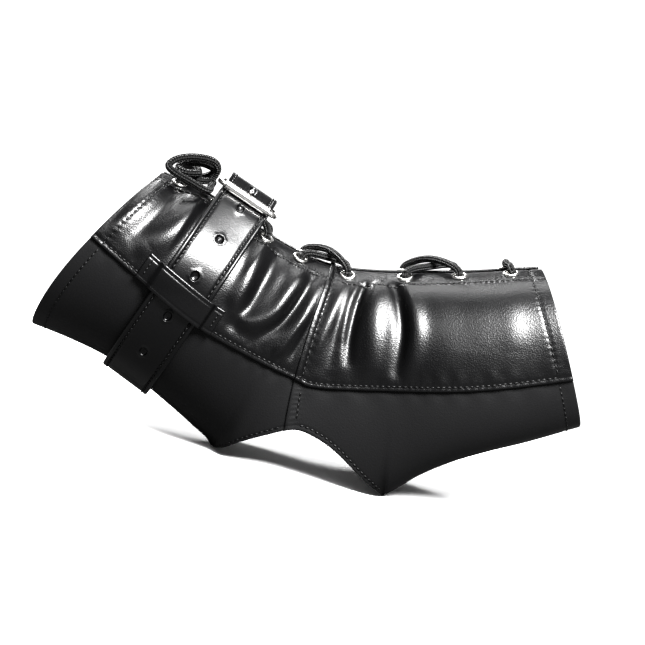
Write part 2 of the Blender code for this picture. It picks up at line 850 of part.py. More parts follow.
def stand_at_origin():
    """Moves everything so that the boot without its lace stands on the middle of its own box."""
    bpy.context.view_layer.update()
    depsgraph = bpy.context.evaluated_depsgraph_get()
    corners = []
    for piece in bpy.context.scene.objects:
        if piece.hide_render or piece.name == "lace" or piece.name.startswith("aglet"):
            continue
        shape = piece.evaluated_get(depsgraph)
        mesh = shape.to_mesh()
        corners += [piece.matrix_world @ corner.co for corner in mesh.vertices]
        shape.to_mesh_clear()
    low = [min(corner[axis] for corner in corners) for axis in range(3)]
    high = [max(corner[axis] for corner in corners) for axis in range(3)]
    middle = Vector(((low[0] + high[0]) / 2, (low[1] + high[1]) / 2, low[2]))
    for piece in bpy.context.scene.objects:
        piece.matrix_world = Matrix.Translation(-middle) @ piece.matrix_world


def build():
    clear_scene()
    upper_leather = material("upper_leather", (0.012, 0.012, 0.013), 0.32)
    lower_leather = material("lower_leather", (0.022, 0.022, 0.024), 0.6)
    strap_leather = material("strap_leather", (0.010, 0.010, 0.011), 0.3)
    tongue_leather = material("tongue_leather", (0.018, 0.018, 0.019), 0.6)
    nickel = material("nickel", (0.72, 0.71, 0.69), 0.2, 1.0)
    cord = material("lace_cord", (0.012, 0.012, 0.013), 0.8)
    plastic = material("aglet_plastic", (0.015, 0.015, 0.016), 0.35)

    half_gap = u_step(ANKLE_SEAM_FRONT, 0.3, SEAM_GAP / 2)
    first = lambda v: -u_step(0.0, 0.5, CUFF_CURVE) * math.sin(math.pi * v) ** 2
    last = lambda v: float(LAST_STATION)
    before_ankle = lambda v: ankle_seam(v) - half_gap
    after_ankle = lambda v: ankle_seam(v) + half_gap

    sides = {}
    for far in (False, True):
        side = "far" if far else "near"
        shin = upper_panel(f"shin_panel_{side}", upper_leather, first, before_ankle, 14, far)
        foot = upper_panel(f"foot_panel_{side}", upper_leather, after_ankle, last, 12, far)
        strip = bmesh.new()
        pattern_grid(strip, lambda v: 0.15, lambda v: LAST_STATION - 0.1, edge_v, facing_v, 28, 3)
        if far:
            mirror_pattern(strip)
        facing = laid_on_form(f"facing_{side}", strip, lower_leather, FACING_BOTTOM, FACING_TOP)
        sides[side] = {"shin": shin, "foot": foot, "facing": facing}

    lower_panel("heel_panel", lower_leather, first, before_ankle, 15, (11, RIM_START))
    lower_panel("sole_panel", lower_leather, after_ankle, last, 12, (5, RIM_END))

    flat = bmesh.new()
    tongue_edge = lambda u: v_at(u, TONGUE_HALF_WIDTH)
    pattern_grid(flat, lambda v: 0.1, lambda v: 15.6, lambda u: -tongue_edge(u), tongue_edge, 20, 6)
    laid_on_form("tongue", flat, tongue_leather, TONGUE_TOP - LEATHER, TONGUE_TOP)

    add_eyelets(nickel, sides["near"], sides["far"])
    add_strap(strap_leather)
    add_buckle(nickel)
    add_belt_loop("belt_loop_near", strap_leather, False)
    add_belt_loop("belt_loop_far", strap_leather, True)
    add_lace(cord, plastic)
    stand_at_origin()


build()
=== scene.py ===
"""The looks of an open-toe, open-heel boxing boot in black leather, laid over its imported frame."""

import math

import bmesh
import bpy
import numpy as np
from mathutils import Matrix, Vector


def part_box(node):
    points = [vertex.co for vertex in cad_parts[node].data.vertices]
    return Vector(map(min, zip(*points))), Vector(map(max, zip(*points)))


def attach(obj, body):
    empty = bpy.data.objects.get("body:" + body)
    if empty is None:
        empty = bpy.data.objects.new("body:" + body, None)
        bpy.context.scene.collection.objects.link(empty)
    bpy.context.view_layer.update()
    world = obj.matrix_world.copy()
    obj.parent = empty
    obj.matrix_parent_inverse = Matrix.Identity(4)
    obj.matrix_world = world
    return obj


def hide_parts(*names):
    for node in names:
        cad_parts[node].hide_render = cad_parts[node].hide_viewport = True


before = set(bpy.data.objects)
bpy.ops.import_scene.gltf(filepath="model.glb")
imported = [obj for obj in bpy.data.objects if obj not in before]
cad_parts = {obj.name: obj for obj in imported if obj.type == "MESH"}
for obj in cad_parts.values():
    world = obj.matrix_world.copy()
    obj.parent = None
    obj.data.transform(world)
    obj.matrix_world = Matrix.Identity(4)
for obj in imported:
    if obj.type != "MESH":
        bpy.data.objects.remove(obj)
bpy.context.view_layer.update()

# ---------------------------------------------------------------------------------------------
# Heel panel and sole panel: matte leather, one piece each, round the back of the leg and under
# the foot. Their upper edges lie under the upper panels, and the sole panel laps the heel panel.
# ---------------------------------------------------------------------------------------------

MM = 0.001

# All the leather lies on one form of closed sections, from the cuff (station 0) to the toe opening
# (station 16). A place on it is u, the station, and v: 0 at the front, 1 at the back and under the
# sole, below 1 on the near side and above 1 on the far side.
STATIONS = MM * np.array(
    (
        (-166.9, 144.4, -218.5, 44.3),
        (-152.0, 141.8, -197.2, 41.2),
        (-137.4, 138.2, -175.9, 36.6),
        (-122.0, 133.0, -160.2, 30.6),
        (-107.0, 127.4, -145.5, 24.0),
        (-93.5, 123.0, -131.0, 16.6),
        (-79.6, 119.4, -117.4, 9.2),
        (-70.5, 117.6, -103.5, 0.0),
        (-61.5, 116.8, -95.5, -20.0),
        (-50.5, 117.2, -68.0, -36.0),
        (-35.0, 119.6, -30.0, -24.0),
        (-19.4, 122.8, 0.0, 0.0),
        (-4.6, 126.4, 15.4, 15.4),
        (10.2, 130.0, 31.2, 27.6),
        (25.0, 134.2, 49.5, 38.4),
        (39.5, 138.8, 70.0, 49.2),
        (55.5, 143.5, 96.2, 64.5),
    )
)
SIDE_SEAM = MM * np.array(
    (
        (-204.0, 111.0),
        (-180.0, 98.5),
        (-128.0, 72.0),
        (-96.0, 61.5),
        (-68.0, 55.0),
        (-52.0, 53.0),
        (-5.0, 63.5),
        (40.0, 76.5),
        (92.0, 96.0),
    )
)
HEEL_RIM = MM * np.array(
    (
        (-103.5, 0.0),
        (-97.0, 4.5),
        (-86.0, 13.0),
        (-72.0, 21.5),
        (-60.0, 27.0),
        (-47.0, 25.5),
        (-33.0, 19.5),
        (-14.0, 7.5),
        (0.0, 0.0),
    )
)
LAST_STATION = len(STATIONS) - 1
WIDTH_KNOTS = ((0.0, 0.051), (6.8, 0.041), (9.0, 0.041), (13.5, 0.049), (16.0, 0.047))
SOLE_FLATNESS = 0.8
RIM_START, RIM_END = 7, 11
ANKLE_FRONT, ANKLE_RIM = 8.1, 8.9
SHIFT = np.array(
    (
        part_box("heel_panel")[0][0] - STATIONS[0][2],
        (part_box("tongue")[0][1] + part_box("tongue")[1][1]) / 2,
        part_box("sole_panel")[0][2] - STATIONS[RIM_END][3],
    )
)

LEATHER = 0.0015
EDGE_ROUND = 0.0005
SEAM_LAP = 0.008
CUFF_CURVE = 0.0055
STITCH_PITCH = 0.0031


def through(points, t):
    """A smooth curve through the points, with t counting them."""
    points = np.asarray(points, float)
    ring = np.vstack([2 * points[0] - points[1], points, 2 * points[-1] - points[-2]])
    t = np.asarray(t, float)
    i = np.clip(np.floor(t).astype(int), 0, len(points) - 2)
    f = (t - i)[..., None]
    a, b, c, d = (ring[i + k] for k in range(4))
    return 0.5 * (
        2 * b + (c - a) * f + (2 * a - 5 * b + 4 * c - d) * f * f + (3 * b - a - 3 * c + d) * f**3
    )


def half_width(u):
    width = np.full(np.shape(u), WIDTH_KNOTS[0][1])
    for (u0, w0), (u1, w1) in zip(WIDTH_KNOTS, WIDTH_KNOTS[1:]):
        f = np.clip((u - u0) / (u1 - u0), 0, 1)
        width = np.where(u > u0, w0 + (w1 - w0) * f * f * (3 - 2 * f), width)
    return width


def down_at(u, v):
    rise = (1 + np.cos(math.pi * v)) / 2
    flatness = SOLE_FLATNESS * np.clip((u - 8.0) / 2.5, 0, 1)
    return 1 - rise ** (1 + flatness * (1 - rise))


def form(u, v):
    u, v = np.broadcast_arrays(np.asarray(u, float), np.asarray(v, float))
    ends = through(STATIONS, u)
    down = down_at(u, v)
    sine = np.sin(math.pi * v)
    fullness = 0.92 - 0.14 * down * np.clip((u - 6) / 6, 0, 1)
    side = np.sign(sine) * np.abs(sine) ** fullness
    x = ends[..., 0] + (ends[..., 2] - ends[..., 0]) * down
    z = ends[..., 1] + (ends[..., 3] - ends[..., 1]) * down
    return np.stack([x, -half_width(u) * side, z], -1) + SHIFT


def unit(vectors):
    return vectors / np.maximum(np.linalg.norm(vectors, axis=-1, keepdims=True), 1e-12)


def outward(u, v):
    along = form(u + 0.02, v) - form(u - 0.02, v)
    across = form(u, v + 0.004) - form(u, v - 0.004)
    return unit(np.cross(across, along))


def over(u, v, height):
    return form(u, v) + outward(u, v) * np.asarray(height)[..., None]


def around(u, v):
    """Metres round the section for each whole v."""
    return np.linalg.norm(form(u, v + 0.01) - form(u, v - 0.01), axis=-1) / 0.02


def along(u, v):
    return np.linalg.norm(form(u + 0.05, v) - form(u - 0.05, v), axis=-1) / 0.1


U_TABLE = np.linspace(-0.8, LAST_STATION + 0.2, 171)
V_TABLE = np.linspace(0.0, 1.0, 401)


def side_table(line):
    """v at each station of the table where a side-view line crosses the section."""
    curve = through(line, np.linspace(0, len(line) - 1, 240))
    found = []
    for u in U_TABLE:
        x0, z0, x1, z1 = through(STATIONS, np.array(u))
        lean = np.array((x1 - x0, z1 - z0))
        spots = curve - (x0, z0)
        side = lean[0] * spots[:, 1] - lean[1] * spots[:, 0]
        crossed = np.nonzero(side[:-1] * side[1:] <= 0)[0]
        if len(crossed):
            k = crossed[0]
            spot = spots[k] + (spots[k + 1] - spots[k]) * side[k] / (side[k] - side[k + 1])
        else:
            spot = spots[0] if abs(side[0]) < abs(side[-1]) else spots[-1]
        found.append(np.interp(spot @ lean / (lean @ lean), down_at(u, V_TABLE), V_TABLE))
    return np.array(found)


SEAM_TABLE = side_table(SIDE_SEAM)
RIM_TABLE = side_table(HEEL_RIM)


def seam_v(u):
    return np.interp(u, U_TABLE, SEAM_TABLE)


def rim_v(u):
    return np.where((u <= RIM_START) | (u >= RIM_END), 1.0, np.interp(u, U_TABLE, RIM_TABLE))


def lower_top(u):
    return seam_v(u) - SEAM_LAP / around(u, seam_v(u))


def cuff_edge(v):
    return -CUFF_CURVE / along(0.0, 0.5) * np.sin(math.pi * v) ** 2


def toe_edge(v):
    return np.full(np.shape(v), float(LAST_STATION))


RIM_AT_ANKLE = float(np.interp(ANKLE_RIM, U_TABLE, RIM_TABLE))


def ankle_seam(v):
    return ANKLE_FRONT + (ANKLE_RIM - ANKLE_FRONT) * np.clip(v / RIM_AT_ANKLE, 0, 1) ** 2


def on_side(v, far):
    return 2 - v if far else v


HEM_STITCH = 0.0078
RIM_STITCH = 0.0030
ANKLE_STITCH = 0.0028
ANKLE_LAP = 0.0014
LAP_STEP = 0.0011
LAP_EASE = 0.0045
STATION_RUN = 0.0152
LOWER_STEP = 0.0014
STITCH_LENGTH, STITCH_THICKNESS = 0.0026, 0.0012


def faces_out(solid):
    bmesh.ops.recalc_face_normals(solid, faces=solid.faces)
    if solid.calc_volume(signed=True) < 0:
        bmesh.ops.reverse_faces(solid, faces=solid.faces)


def finished(name, mesh, finish, body="boot", nodes=(), angle=50):
    """Links a piece, gives it its material and ties it to the frame."""
    piece = bpy.data.objects.new(name, mesh)
    bpy.context.scene.collection.objects.link(piece)
    mesh.materials.append(finish)
    mesh.shade_smooth()
    if angle:
        mesh.set_sharp_from_angle(angle=math.radians(angle))
    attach(piece, body)
    if nodes:
        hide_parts(*nodes)
    return piece


def rows(length, step):
    """Places from 0 to 1 along a length, closer together near its two ends."""
    middle = np.linspace(0.0016, length - 0.0016, max(int(length / step), 2))
    start = np.array((0.0, 0.00012, 0.0003, 0.0006, 0.001))
    return np.concatenate([start, middle, length - start[::-1]]) / length


def rounded_drop(distance, radius=EDGE_ROUND):
    """How far a face falls at this distance from its edge."""
    d = np.clip(distance, 0, radius)
    return radius - np.sqrt(np.maximum(radius**2 - (radius - d) ** 2, 0))


def bell(distance, width):
    return np.exp(-((distance / width) ** 2))


WANDER = 0.06


class Wire:
    """A shader socket that sums and products can be made of."""

    def __init__(self, tree, socket):
        self.tree, self.socket = tree, socket

    def made(self, kind, first, second=0.0):
        return fitted(self.tree, "ShaderNodeMath", {"operation": kind}, {0: first, 1: second})

    def __add__(self, other):
        return self.made("ADD", self, other)

    def __sub__(self, other):
        return self.made("SUBTRACT", self, other)

    def __rsub__(self, other):
        return self.made("SUBTRACT", other, self)

    def __mul__(self, other):
        return self.made("MULTIPLY", self, other)

    __radd__, __rmul__ = __add__, __mul__

    def sine(self):
        return self.made("SINE", self)

    def power(self, exponent):
        return self.made("POWER", self, exponent)

    def absolute(self):
        return self.made("ABSOLUTE", self)


def fitted(tree, kind, settings, sockets, output=0):
    """Adds a node: its settings first, then a value or a wire for each of its sockets."""
    made = tree.nodes.new(kind)
    for name, value in settings.items():
        setattr(made, name, value)
    for name, value in sockets.items():
        if isinstance(value, Wire):
            tree.links.new(value.socket, made.inputs[name])
        else:
            made.inputs[name].default_value = value
    return Wire(tree, made.outputs[output])


def material(name, colour, roughness, metallic=0.0, specular=0.5):
    finish = bpy.data.materials.new(name)
    finish.use_nodes = True
    shader = finish.node_tree.nodes["Principled BSDF"]
    shader.inputs["Base Color"].default_value = (*colour, 1)
    shader.inputs["Roughness"].default_value = roughness
    shader.inputs["Metallic"].default_value = metallic
    shader.inputs["Specular IOR Level"].default_value = specular
    return finish, finish.node_tree, shader


def bump(tree, shader, height, distance):
    raised = fitted(tree, "ShaderNodeBump", {}, {"Distance": distance, "Height": height})
    tree.links.new(raised.socket, shader.inputs["Normal"])


def leather(name, colour, roughness, grain, depth, specular):
    """Black leather: pebbled grain with fine pores, and a roughness that wanders a little."""
    finish, tree, shader = material(name, colour, roughness, specular=specular)
    place = fitted(tree, "ShaderNodeTexCoord", {}, {}, output=3)
    pebbles = {"Vector": place, "Scale": grain, "Smoothness": 0.6}
    cells = fitted(tree, "ShaderNodeTexVoronoi", {"feature": "SMOOTH_F1"}, pebbles)
    fine = {"Vector": place, "Scale": grain * 2.3, "Detail": 3.0}
    pores = fitted(tree, "ShaderNodeTexNoise", {}, fine)
    clouds = fitted(tree, "ShaderNodeTexNoise", {}, {"Vector": place, "Scale": 45.0, "Detail": 2.0})
    swells = fitted(tree, "ShaderNodeTexNoise", {}, {"Vector": place, "Scale": 160.0, "Detail": 2.0})
    bump(tree, shader, cells * 0.8 + pores * 0.3 + swells * 0.3, depth)
    wander = clouds * (WANDER * 2) + (roughness - WANDER)
    tree.links.new(wander.socket, shader.inputs["Roughness"])
    return finish


lower_leather = leather("lower_leather", (0.0100, 0.0100, 0.0104), 0.50, 1100.0, 0.00006, specular=0.30)
thread = material("thread", (0.002, 0.002, 0.0022), 0.5, specular=0.4)[0]


def pucker(distance, run, depth=0.00035):
    """The groove and the small swells that a row of stitches pulls into leather."""
    swell = 0.00012 * np.cos(math.tau * run / STITCH_PITCH)
    return swell * bell(distance, 0.0022) - depth * bell(distance, 0.0008)


def lapped_start(v):
    return ankle_seam(v) - ANKLE_LAP / STATION_RUN


def lap_raise(ankle_gap):
    """How far a lapping edge is lifted by the panel under it."""
    f = np.clip((LAP_EASE - ankle_gap) / LAP_EASE, 0, 1)
    return LAP_STEP * f * f * (3 - 2 * f)


def solved(s, t, start, end, low, high, pivot=None):
    """u and v of grid places between u = start(v) and end(v), and v = low(u) and high(u)."""
    v = np.full(len(s), 0.5)
    for _ in range(7):
        a, b = start(v), end(v)
        if pivot:
            share, station = pivot
            before = a + (station - a) * s / share
            after = station + (b - station) * (s - share) / (1 - share)
            u = np.where(s <= share, before, after)
        else:
            u = a + (b - a) * s
        v = low(u) + (high(u) - low(u)) * t
    return u, v


def lower_height(u, v):
    """The outer face of a lower panel over the form, v on the near side."""
    run = v * around(u, v)
    rim_gap = (rim_v(u) - v) * around(u, v)
    height = pucker((u - cuff_edge(v)) * along(u, v) - HEM_STITCH, run, 0.00025)
    height += pucker((toe_edge(v) - u) * along(u, v) - HEM_STITCH, run, 0.00025)
    height += np.where(rim_v(u) < 0.9999, pucker(rim_gap - RIM_STITCH, u * 0.015, 0.00025), 0)
    ankle_gap = (u - ankle_seam(v)) * along(u, v)
    lapping = np.where(u >= lapped_start(v) - 1e-6, lap_raise(ankle_gap), 0)
    lapping += np.where(ankle_gap > 0, pucker(ankle_gap - ANKLE_STITCH, run, 0.00025), 0)
    seam_gap = (v - seam_v(u)) * around(u, v)
    slack = 0.00022 * np.cos(math.tau * u * STATION_RUN / 0.0115) * bell(seam_gap - 0.002, 0.004)
    return height + slack + (lapping if np.mean(u) > ANKLE_FRONT else 0)


def lower_shell(name, start, end, pivot, lengths):
    """Two flat halves merged where they meet at the back, given thickness and wrapped."""
    s_rows = rows(lengths[0], LOWER_STEP)
    s_rows[np.argmin(np.abs(s_rows - pivot[0]))] = pivot[0]
    half = np.concatenate([rows(lengths[1], LOWER_STEP)[:-5], [1 - 0.0006 / lengths[1], 1.0]])
    flat = bmesh.new()
    for t_rows in (half, 2 - half[::-1]):
        cells = {"x_segments": len(s_rows) - 1, "y_segments": len(half) - 1}
        made = bmesh.ops.create_grid(flat, **cells, size=0.5)
        for corner in made["verts"]:
            s = s_rows[round((corner.co.x + 0.5) * (len(s_rows) - 1))]
            corner.co = (s, t_rows[round((corner.co.y + 0.5) * (len(half) - 1))], 0)
    spots = np.array([corner.co[:2] for corner in flat.verts])
    t = np.where(spots[:, 1] <= 1, spots[:, 1], 2 - spots[:, 1])
    u, v = solved(spots[:, 0], t, start, end, lower_top, rim_v, pivot)
    meeting = [c for c, k, at in zip(flat.verts, rim_v(u) > 0.9999, t) if k and at > 0.999999]
    bmesh.ops.remove_doubles(flat, verts=meeting, dist=1e-7)
    far_layer = flat.verts.layers.float.new("far")
    for corner in flat.verts:
        corner[far_layer] = float(all(face.calc_center_median().y > 1 for face in corner.link_faces))
    grown = bmesh.ops.extrude_face_region(flat, geom=flat.faces[:])
    upper = [c for c in grown["geom"] if isinstance(c, bmesh.types.BMVert)]
    bmesh.ops.translate(flat, verts=upper, vec=(0, 0, 1))
    uv = flat.loops.layers.uv.new("UVMap")
    for face in flat.faces:
        for loop in face.loops:
            loop[uv].uv = loop.vert.co[:2]
    mesh = bpy.data.meshes.new(name)
    far = np.array([corner[far_layer] for corner in flat.verts]) > 0.5
    flat.to_mesh(mesh)
    flat.free()
    co = np.empty(len(mesh.vertices) * 3)
    mesh.vertices.foreach_get("co", co)
    s, side, layer = co.reshape(-1, 3).T
    near = (side < 1) | ((np.abs(side - 1) < 1e-6) & ~far)
    t = np.where(side <= 1, side, 2 - side)
    u, v = solved(s, t, start, end, lower_top, rim_v, pivot)
    s_gap = np.minimum(s, 1 - s) * lengths[0]
    rim_gap = (rim_v(u) - v) * around(u, v)
    gap = np.where(rim_v(u) < 0.9999, np.minimum(s_gap, rim_gap), s_gap)
    drop = rounded_drop(np.minimum(gap, (v - lower_top(u)) * around(u, v)))
    top = lower_height(u, v)
    lift = top if np.mean(u) < ANKLE_FRONT else np.maximum(top, 0)
    height = np.where(layer > 0.5, top - drop, -LEATHER + lift * 0.9 + drop)
    mesh.vertices.foreach_set("co", over(u, np.where(near, v, 2 - v), height).ravel())
    solid = bmesh.new()
    solid.from_mesh(mesh)
    faces_out(solid)
    solid.to_mesh(mesh)
    solid.free()
    return finished(name + "_skin", mesh, lower_leather, nodes=(name,))


def stitched(
    name, path, normals, pitch=STITCH_PITCH, length=STITCH_LENGTH, thickness=STITCH_THICKNESS
):
    """A row of stitches: short rounded bars of thread, half sunk in the leather."""
    steps = np.linalg.norm(np.diff(path, axis=0), axis=1)
    run = np.concatenate([[0], np.cumsum(steps)])
    count = int(run[-1] / pitch)
    row = bmesh.new()
    for k in range(count):
        ends = []
        for share in (-0.2, 0.2):
            at = (k + 0.5 + share) * pitch
            ends.append(np.array([np.interp(at, run, path[:, axis]) for axis in range(3)]))
        middle = (ends[0] + ends[1]) / 2
        off = unit(np.array([np.interp((k + 0.5) * pitch, run, normals[:, axis]) for axis in range(3)]))
        ahead = unit(ends[1] - ends[0])
        across = unit(np.cross(off, ahead))
        off = np.cross(ahead, across)
        turned = Matrix(np.stack([ahead, across, off], 1).tolist()).to_4x4()
        size = Matrix.Diagonal((length / 2, thickness / 2, thickness * 0.45, 1))
        lying = Matrix.Rotation(math.pi / 2, 4, "Y")
        place = Matrix.Translation(middle.tolist()) @ turned @ size @ lying
        bmesh.ops.create_uvsphere(row, u_segments=8, v_segments=5, radius=1, matrix=place)
    mesh = bpy.data.meshes.new(name)
    row.to_mesh(mesh)
    row.free()
    return finished(name, mesh, thread, angle=0)


def surface_row(name, u, v, height):
    """Stitches along u and v, which may run on to the far side."""
    folded = np.where(v > 1, 2 - v, v)
    path = over(u, v, height(u, folded) - 0.00002)
    return stitched(name, path, outward(u, v))


lower_shell("heel_panel", cuff_edge, ankle_seam, (0.78, RIM_START), (0.135, 0.085))
lower_shell("sole_panel", lapped_start, toe_edge, (0.31, RIM_END), (0.120, 0.080))

for far in (False, True):
    side = "far" if far else "near"
    v = np.linspace(0.0, 1.0, 120)
    v_low = float(seam_v(0.5)) + (1 - float(seam_v(0.5))) * v
    u_row = cuff_edge(v_low) + HEM_STITCH / along(0.5, v_low)
    surface_row(f"cuff_stitches_low_{side}", u_row, on_side(v_low, far), lower_height)
    v_low = float(seam_v(15.5)) + (1 - float(seam_v(15.5))) * v
    u_row = toe_edge(v_low) - HEM_STITCH / along(15.5, v_low)
    surface_row(f"toe_stitches_low_{side}", u_row, on_side(v_low, far), lower_height)
    u_row = np.linspace(RIM_START + 0.12, ANKLE_RIM - 0.12, 60)
    v_row = rim_v(u_row) - RIM_STITCH / around(u_row, rim_v(u_row))
    surface_row(f"heel_rim_stitches_{side}", u_row, on_side(v_row, far), lower_height)
    u_row = np.linspace(ANKLE_RIM + 0.2, RIM_END - 0.12, 80)
    v_row = rim_v(u_row) - RIM_STITCH / around(u_row, rim_v(u_row))
    surface_row(f"sole_rim_stitches_{side}", u_row, on_side(v_row, far), lower_height)
    v_row = np.linspace(float(seam_v(8.6)) + 0.012, float(rim_v(8.9)) - 0.03, 60)
    u_row = ankle_seam(v_row) + ANKLE_STITCH / STATION_RUN
    surface_row(f"ankle_stitches_low_{side}", u_row, on_side(v_row, far), lower_height)

# ---------------------------------------------------------------------------------------------
# Shin panels and foot panels: glossy leather with the folds of a worn boot. They lap over the
# lower panels along the side seam, and the foot panels lap over the shin panels at the ankle.
# ---------------------------------------------------------------------------------------------

LAYER_GAP = 0.0005
UPPER_TOP = LAYER_GAP + LEATHER
LACING_HALF_GAP = 0.0075
SEAM_STITCH = 0.0026
FACING_STITCH = 0.0135
ROUND_RUN = 0.16
UPPER_STEP = 0.0008
SHIN_LENGTHS, FOOT_LENGTHS = (0.128, 0.075), (0.125, 0.068)
STRAP_STATION = 3.1
STRAP_WIDTH = 0.031
upper_leather = leather("upper_leather", (0.0025, 0.0025, 0.0028), 0.33, 1350.0, 0.00010, specular=0.5)
# Each crease is a route, a width and a height in side-view millimetres.
FOOT_CREASES = (
    (((-36.0, 121.0), (-40.5, 111.0), (-42.5, 99.0), (-42.5, 85.0), (-40.0, 71.0)), 3.0, -2.9),
    (((-51.6, 111.0), (-54.5, 96.0), (-57.6, 81.0), (-59.0, 70.0)), 4.0, 1.7),
    (((-46.6, 113.0), (-48.6, 98.0), (-49.8, 84.0), (-49.3, 68.0)), 2.8, -1.0),
    (((-40.5, 117.0), (-45.0, 108.0), (-47.0, 98.0), (-46.5, 84.0)), 3.2, 1.3),
    (((-33.0, 114.0), (-32.5, 101.0), (-30.0, 86.0), (-27.0, 68.0)), 7.0, 2.6),
    (((-29.0, 119.9), (-22.5, 113.6), (-18.0, 104.0), (-14.6, 92.0), (-12.5, 72.0)), 3.4, -2.9),
    (((-19.5, 118.0), (-11.7, 107.0), (-6.9, 94.0), (-6.2, 74.0)), 5.5, 2.2),
    (((38.0, 124.0), (43.0, 111.0), (45.0, 99.0)), 7.0, 0.6),
    (((8.0, 124.0), (16.0, 110.0), (20.0, 92.0)), 11.0, -0.7),
)
SHIN_CREASES = (
    (((-137.0, 140.0), (-144.0, 130.0), (-150.5, 118.0), (-161.0, 107.0)), 7.0, 3.2),
    (((-164.5, 141.0), (-176.0, 121.0), (-186.0, 108.0)), 7.0, 1.2),
    (((-155.0, 141.0), (-160.0, 127.0), (-171.0, 111.0)), 4.5, -1.6),
    (((-101.5, 126.0), (-104.0, 112.0), (-106.0, 98.0), (-109.0, 84.0)), 5.5, 2.1),
    (((-91.5, 119.0), (-96.5, 101.0), (-100.5, 88.0), (-108.0, 76.0)), 4.2, -2.2),
    (((-75.5, 114.0), (-81.6, 99.0), (-87.3, 87.0), (-96.0, 80.0), (-106.0, 80.0)), 5.0, 2.6),
    (((-71.0, 107.0), (-75.8, 93.5), (-81.6, 82.0), (-92.0, 72.0)), 3.0, -2.0),
    (((-64.5, 104.0), (-69.2, 90.0), (-74.6, 78.0), (-80.0, 66.5), (-87.0, 62.0)), 3.8, 2.2),
    (((-61.5, 95.0), (-66.3, 80.0), (-71.5, 66.0)), 2.4, -1.2),
    (((-58.0, 86.0), (-63.6, 72.8), (-68.0, 59.0)), 3.0, 1.1),
    (((-115.0, 88.0), (-105.5, 75.0), (-91.0, 66.0)), 4.0, -1.1),
    (((-86.0, 124.0), (-80.0, 114.0), (-70.0, 109.0)), 3.6, -1.2),
)


def crease_height(place, creases, sway=0.0):
    """The creases' sum at places on the form. A sway moves them a little, for the other side."""
    x = (place[:, 0] - SHIFT[0]) / MM
    z = (place[:, 2] - SHIFT[2]) / MM
    total = np.zeros(len(x))
    for k, (route, width, height) in enumerate(creases):
        route = np.array(route) + sway * np.array((math.sin(2.1 * k + 1), math.cos(3.3 * k)))
        steps = 8 * (len(route) - 1)
        t = np.linspace(0, len(route) - 1, steps + 1)
        line = through(route, t)
        nearest = np.full(len(x), 1e9)
        share = np.zeros(len(x))
        for i in range(steps):
            run = line[i + 1] - line[i]
            f = ((x - line[i, 0]) * run[0] + (z - line[i, 1]) * run[1]) / (run @ run)
            f = np.clip(f, 0, 1)
            gap = np.hypot(x - line[i, 0] - f * run[0], z - line[i, 1] - f * run[1])
            closer = gap < nearest
            nearest = np.where(closer, gap, nearest)
            share = np.where(closer, (i + f) / steps, share)
        fade = np.clip(np.sin(math.pi * np.clip(0.08 + share * 0.86, 0, 1)), 0, 1) ** 0.6
        total += height * (1 - 0.12 * sway) * fade * np.exp(-((nearest / width) ** 2))
    return total * MM


def v_off_middle(distance):
    """v at each station of the table where the form is this far from its middle, at its front."""
    front = V_TABLE[:200]
    return np.array([np.interp(distance, SHIFT[1] - form(u, front)[:, 1], front) for u in U_TABLE])


EDGE_TABLE = v_off_middle(LACING_HALF_GAP)


def edge_v(u):
    return np.interp(u, U_TABLE, EDGE_TABLE)


def wrapped(name, s_rows, t_rows, spot, thick=True, joined=False):
    """A grid of s by t whose corners spot(s, t, layer) places. A thick one has layers 0 and 1."""
    grid = bmesh.new()
    bmesh.ops.create_grid(grid, x_segments=len(s_rows) - 1, y_segments=len(t_rows) - 1, size=0.5)
    if thick:
        grown = bmesh.ops.extrude_face_region(grid, geom=grid.faces[:])
        upper = [c for c in grown["geom"] if isinstance(c, bmesh.types.BMVert)]
        bmesh.ops.translate(grid, verts=upper, vec=(0, 0, 1))
    mesh = bpy.data.meshes.new(name)
    grid.to_mesh(mesh)
    grid.free()
    flat = np.empty(len(mesh.vertices) * 3)
    mesh.vertices.foreach_get("co", flat)
    flat = flat.reshape(-1, 3)
    s = s_rows[np.rint((flat[:, 0] + 0.5) * (len(s_rows) - 1)).astype(int)]
    t = t_rows[np.rint((flat[:, 1] + 0.5) * (len(t_rows) - 1)).astype(int)]
    uv = mesh.uv_layers.new(name="UVMap")
    corner = np.empty(len(mesh.loops), dtype=np.int32)
    mesh.loops.foreach_get("vertex_index", corner)
    uv.data.foreach_set("uv", np.stack([s, t], -1)[corner].ravel())
    mesh.vertices.foreach_set("co", spot(s, t, flat[:, 2]).ravel())
    solid = bmesh.new()
    solid.from_mesh(mesh)
    if joined:
        bmesh.ops.remove_doubles(solid, verts=solid.verts, dist=1e-6)
    faces_out(solid)
    solid.to_mesh(mesh)
    solid.free()
    return mesh


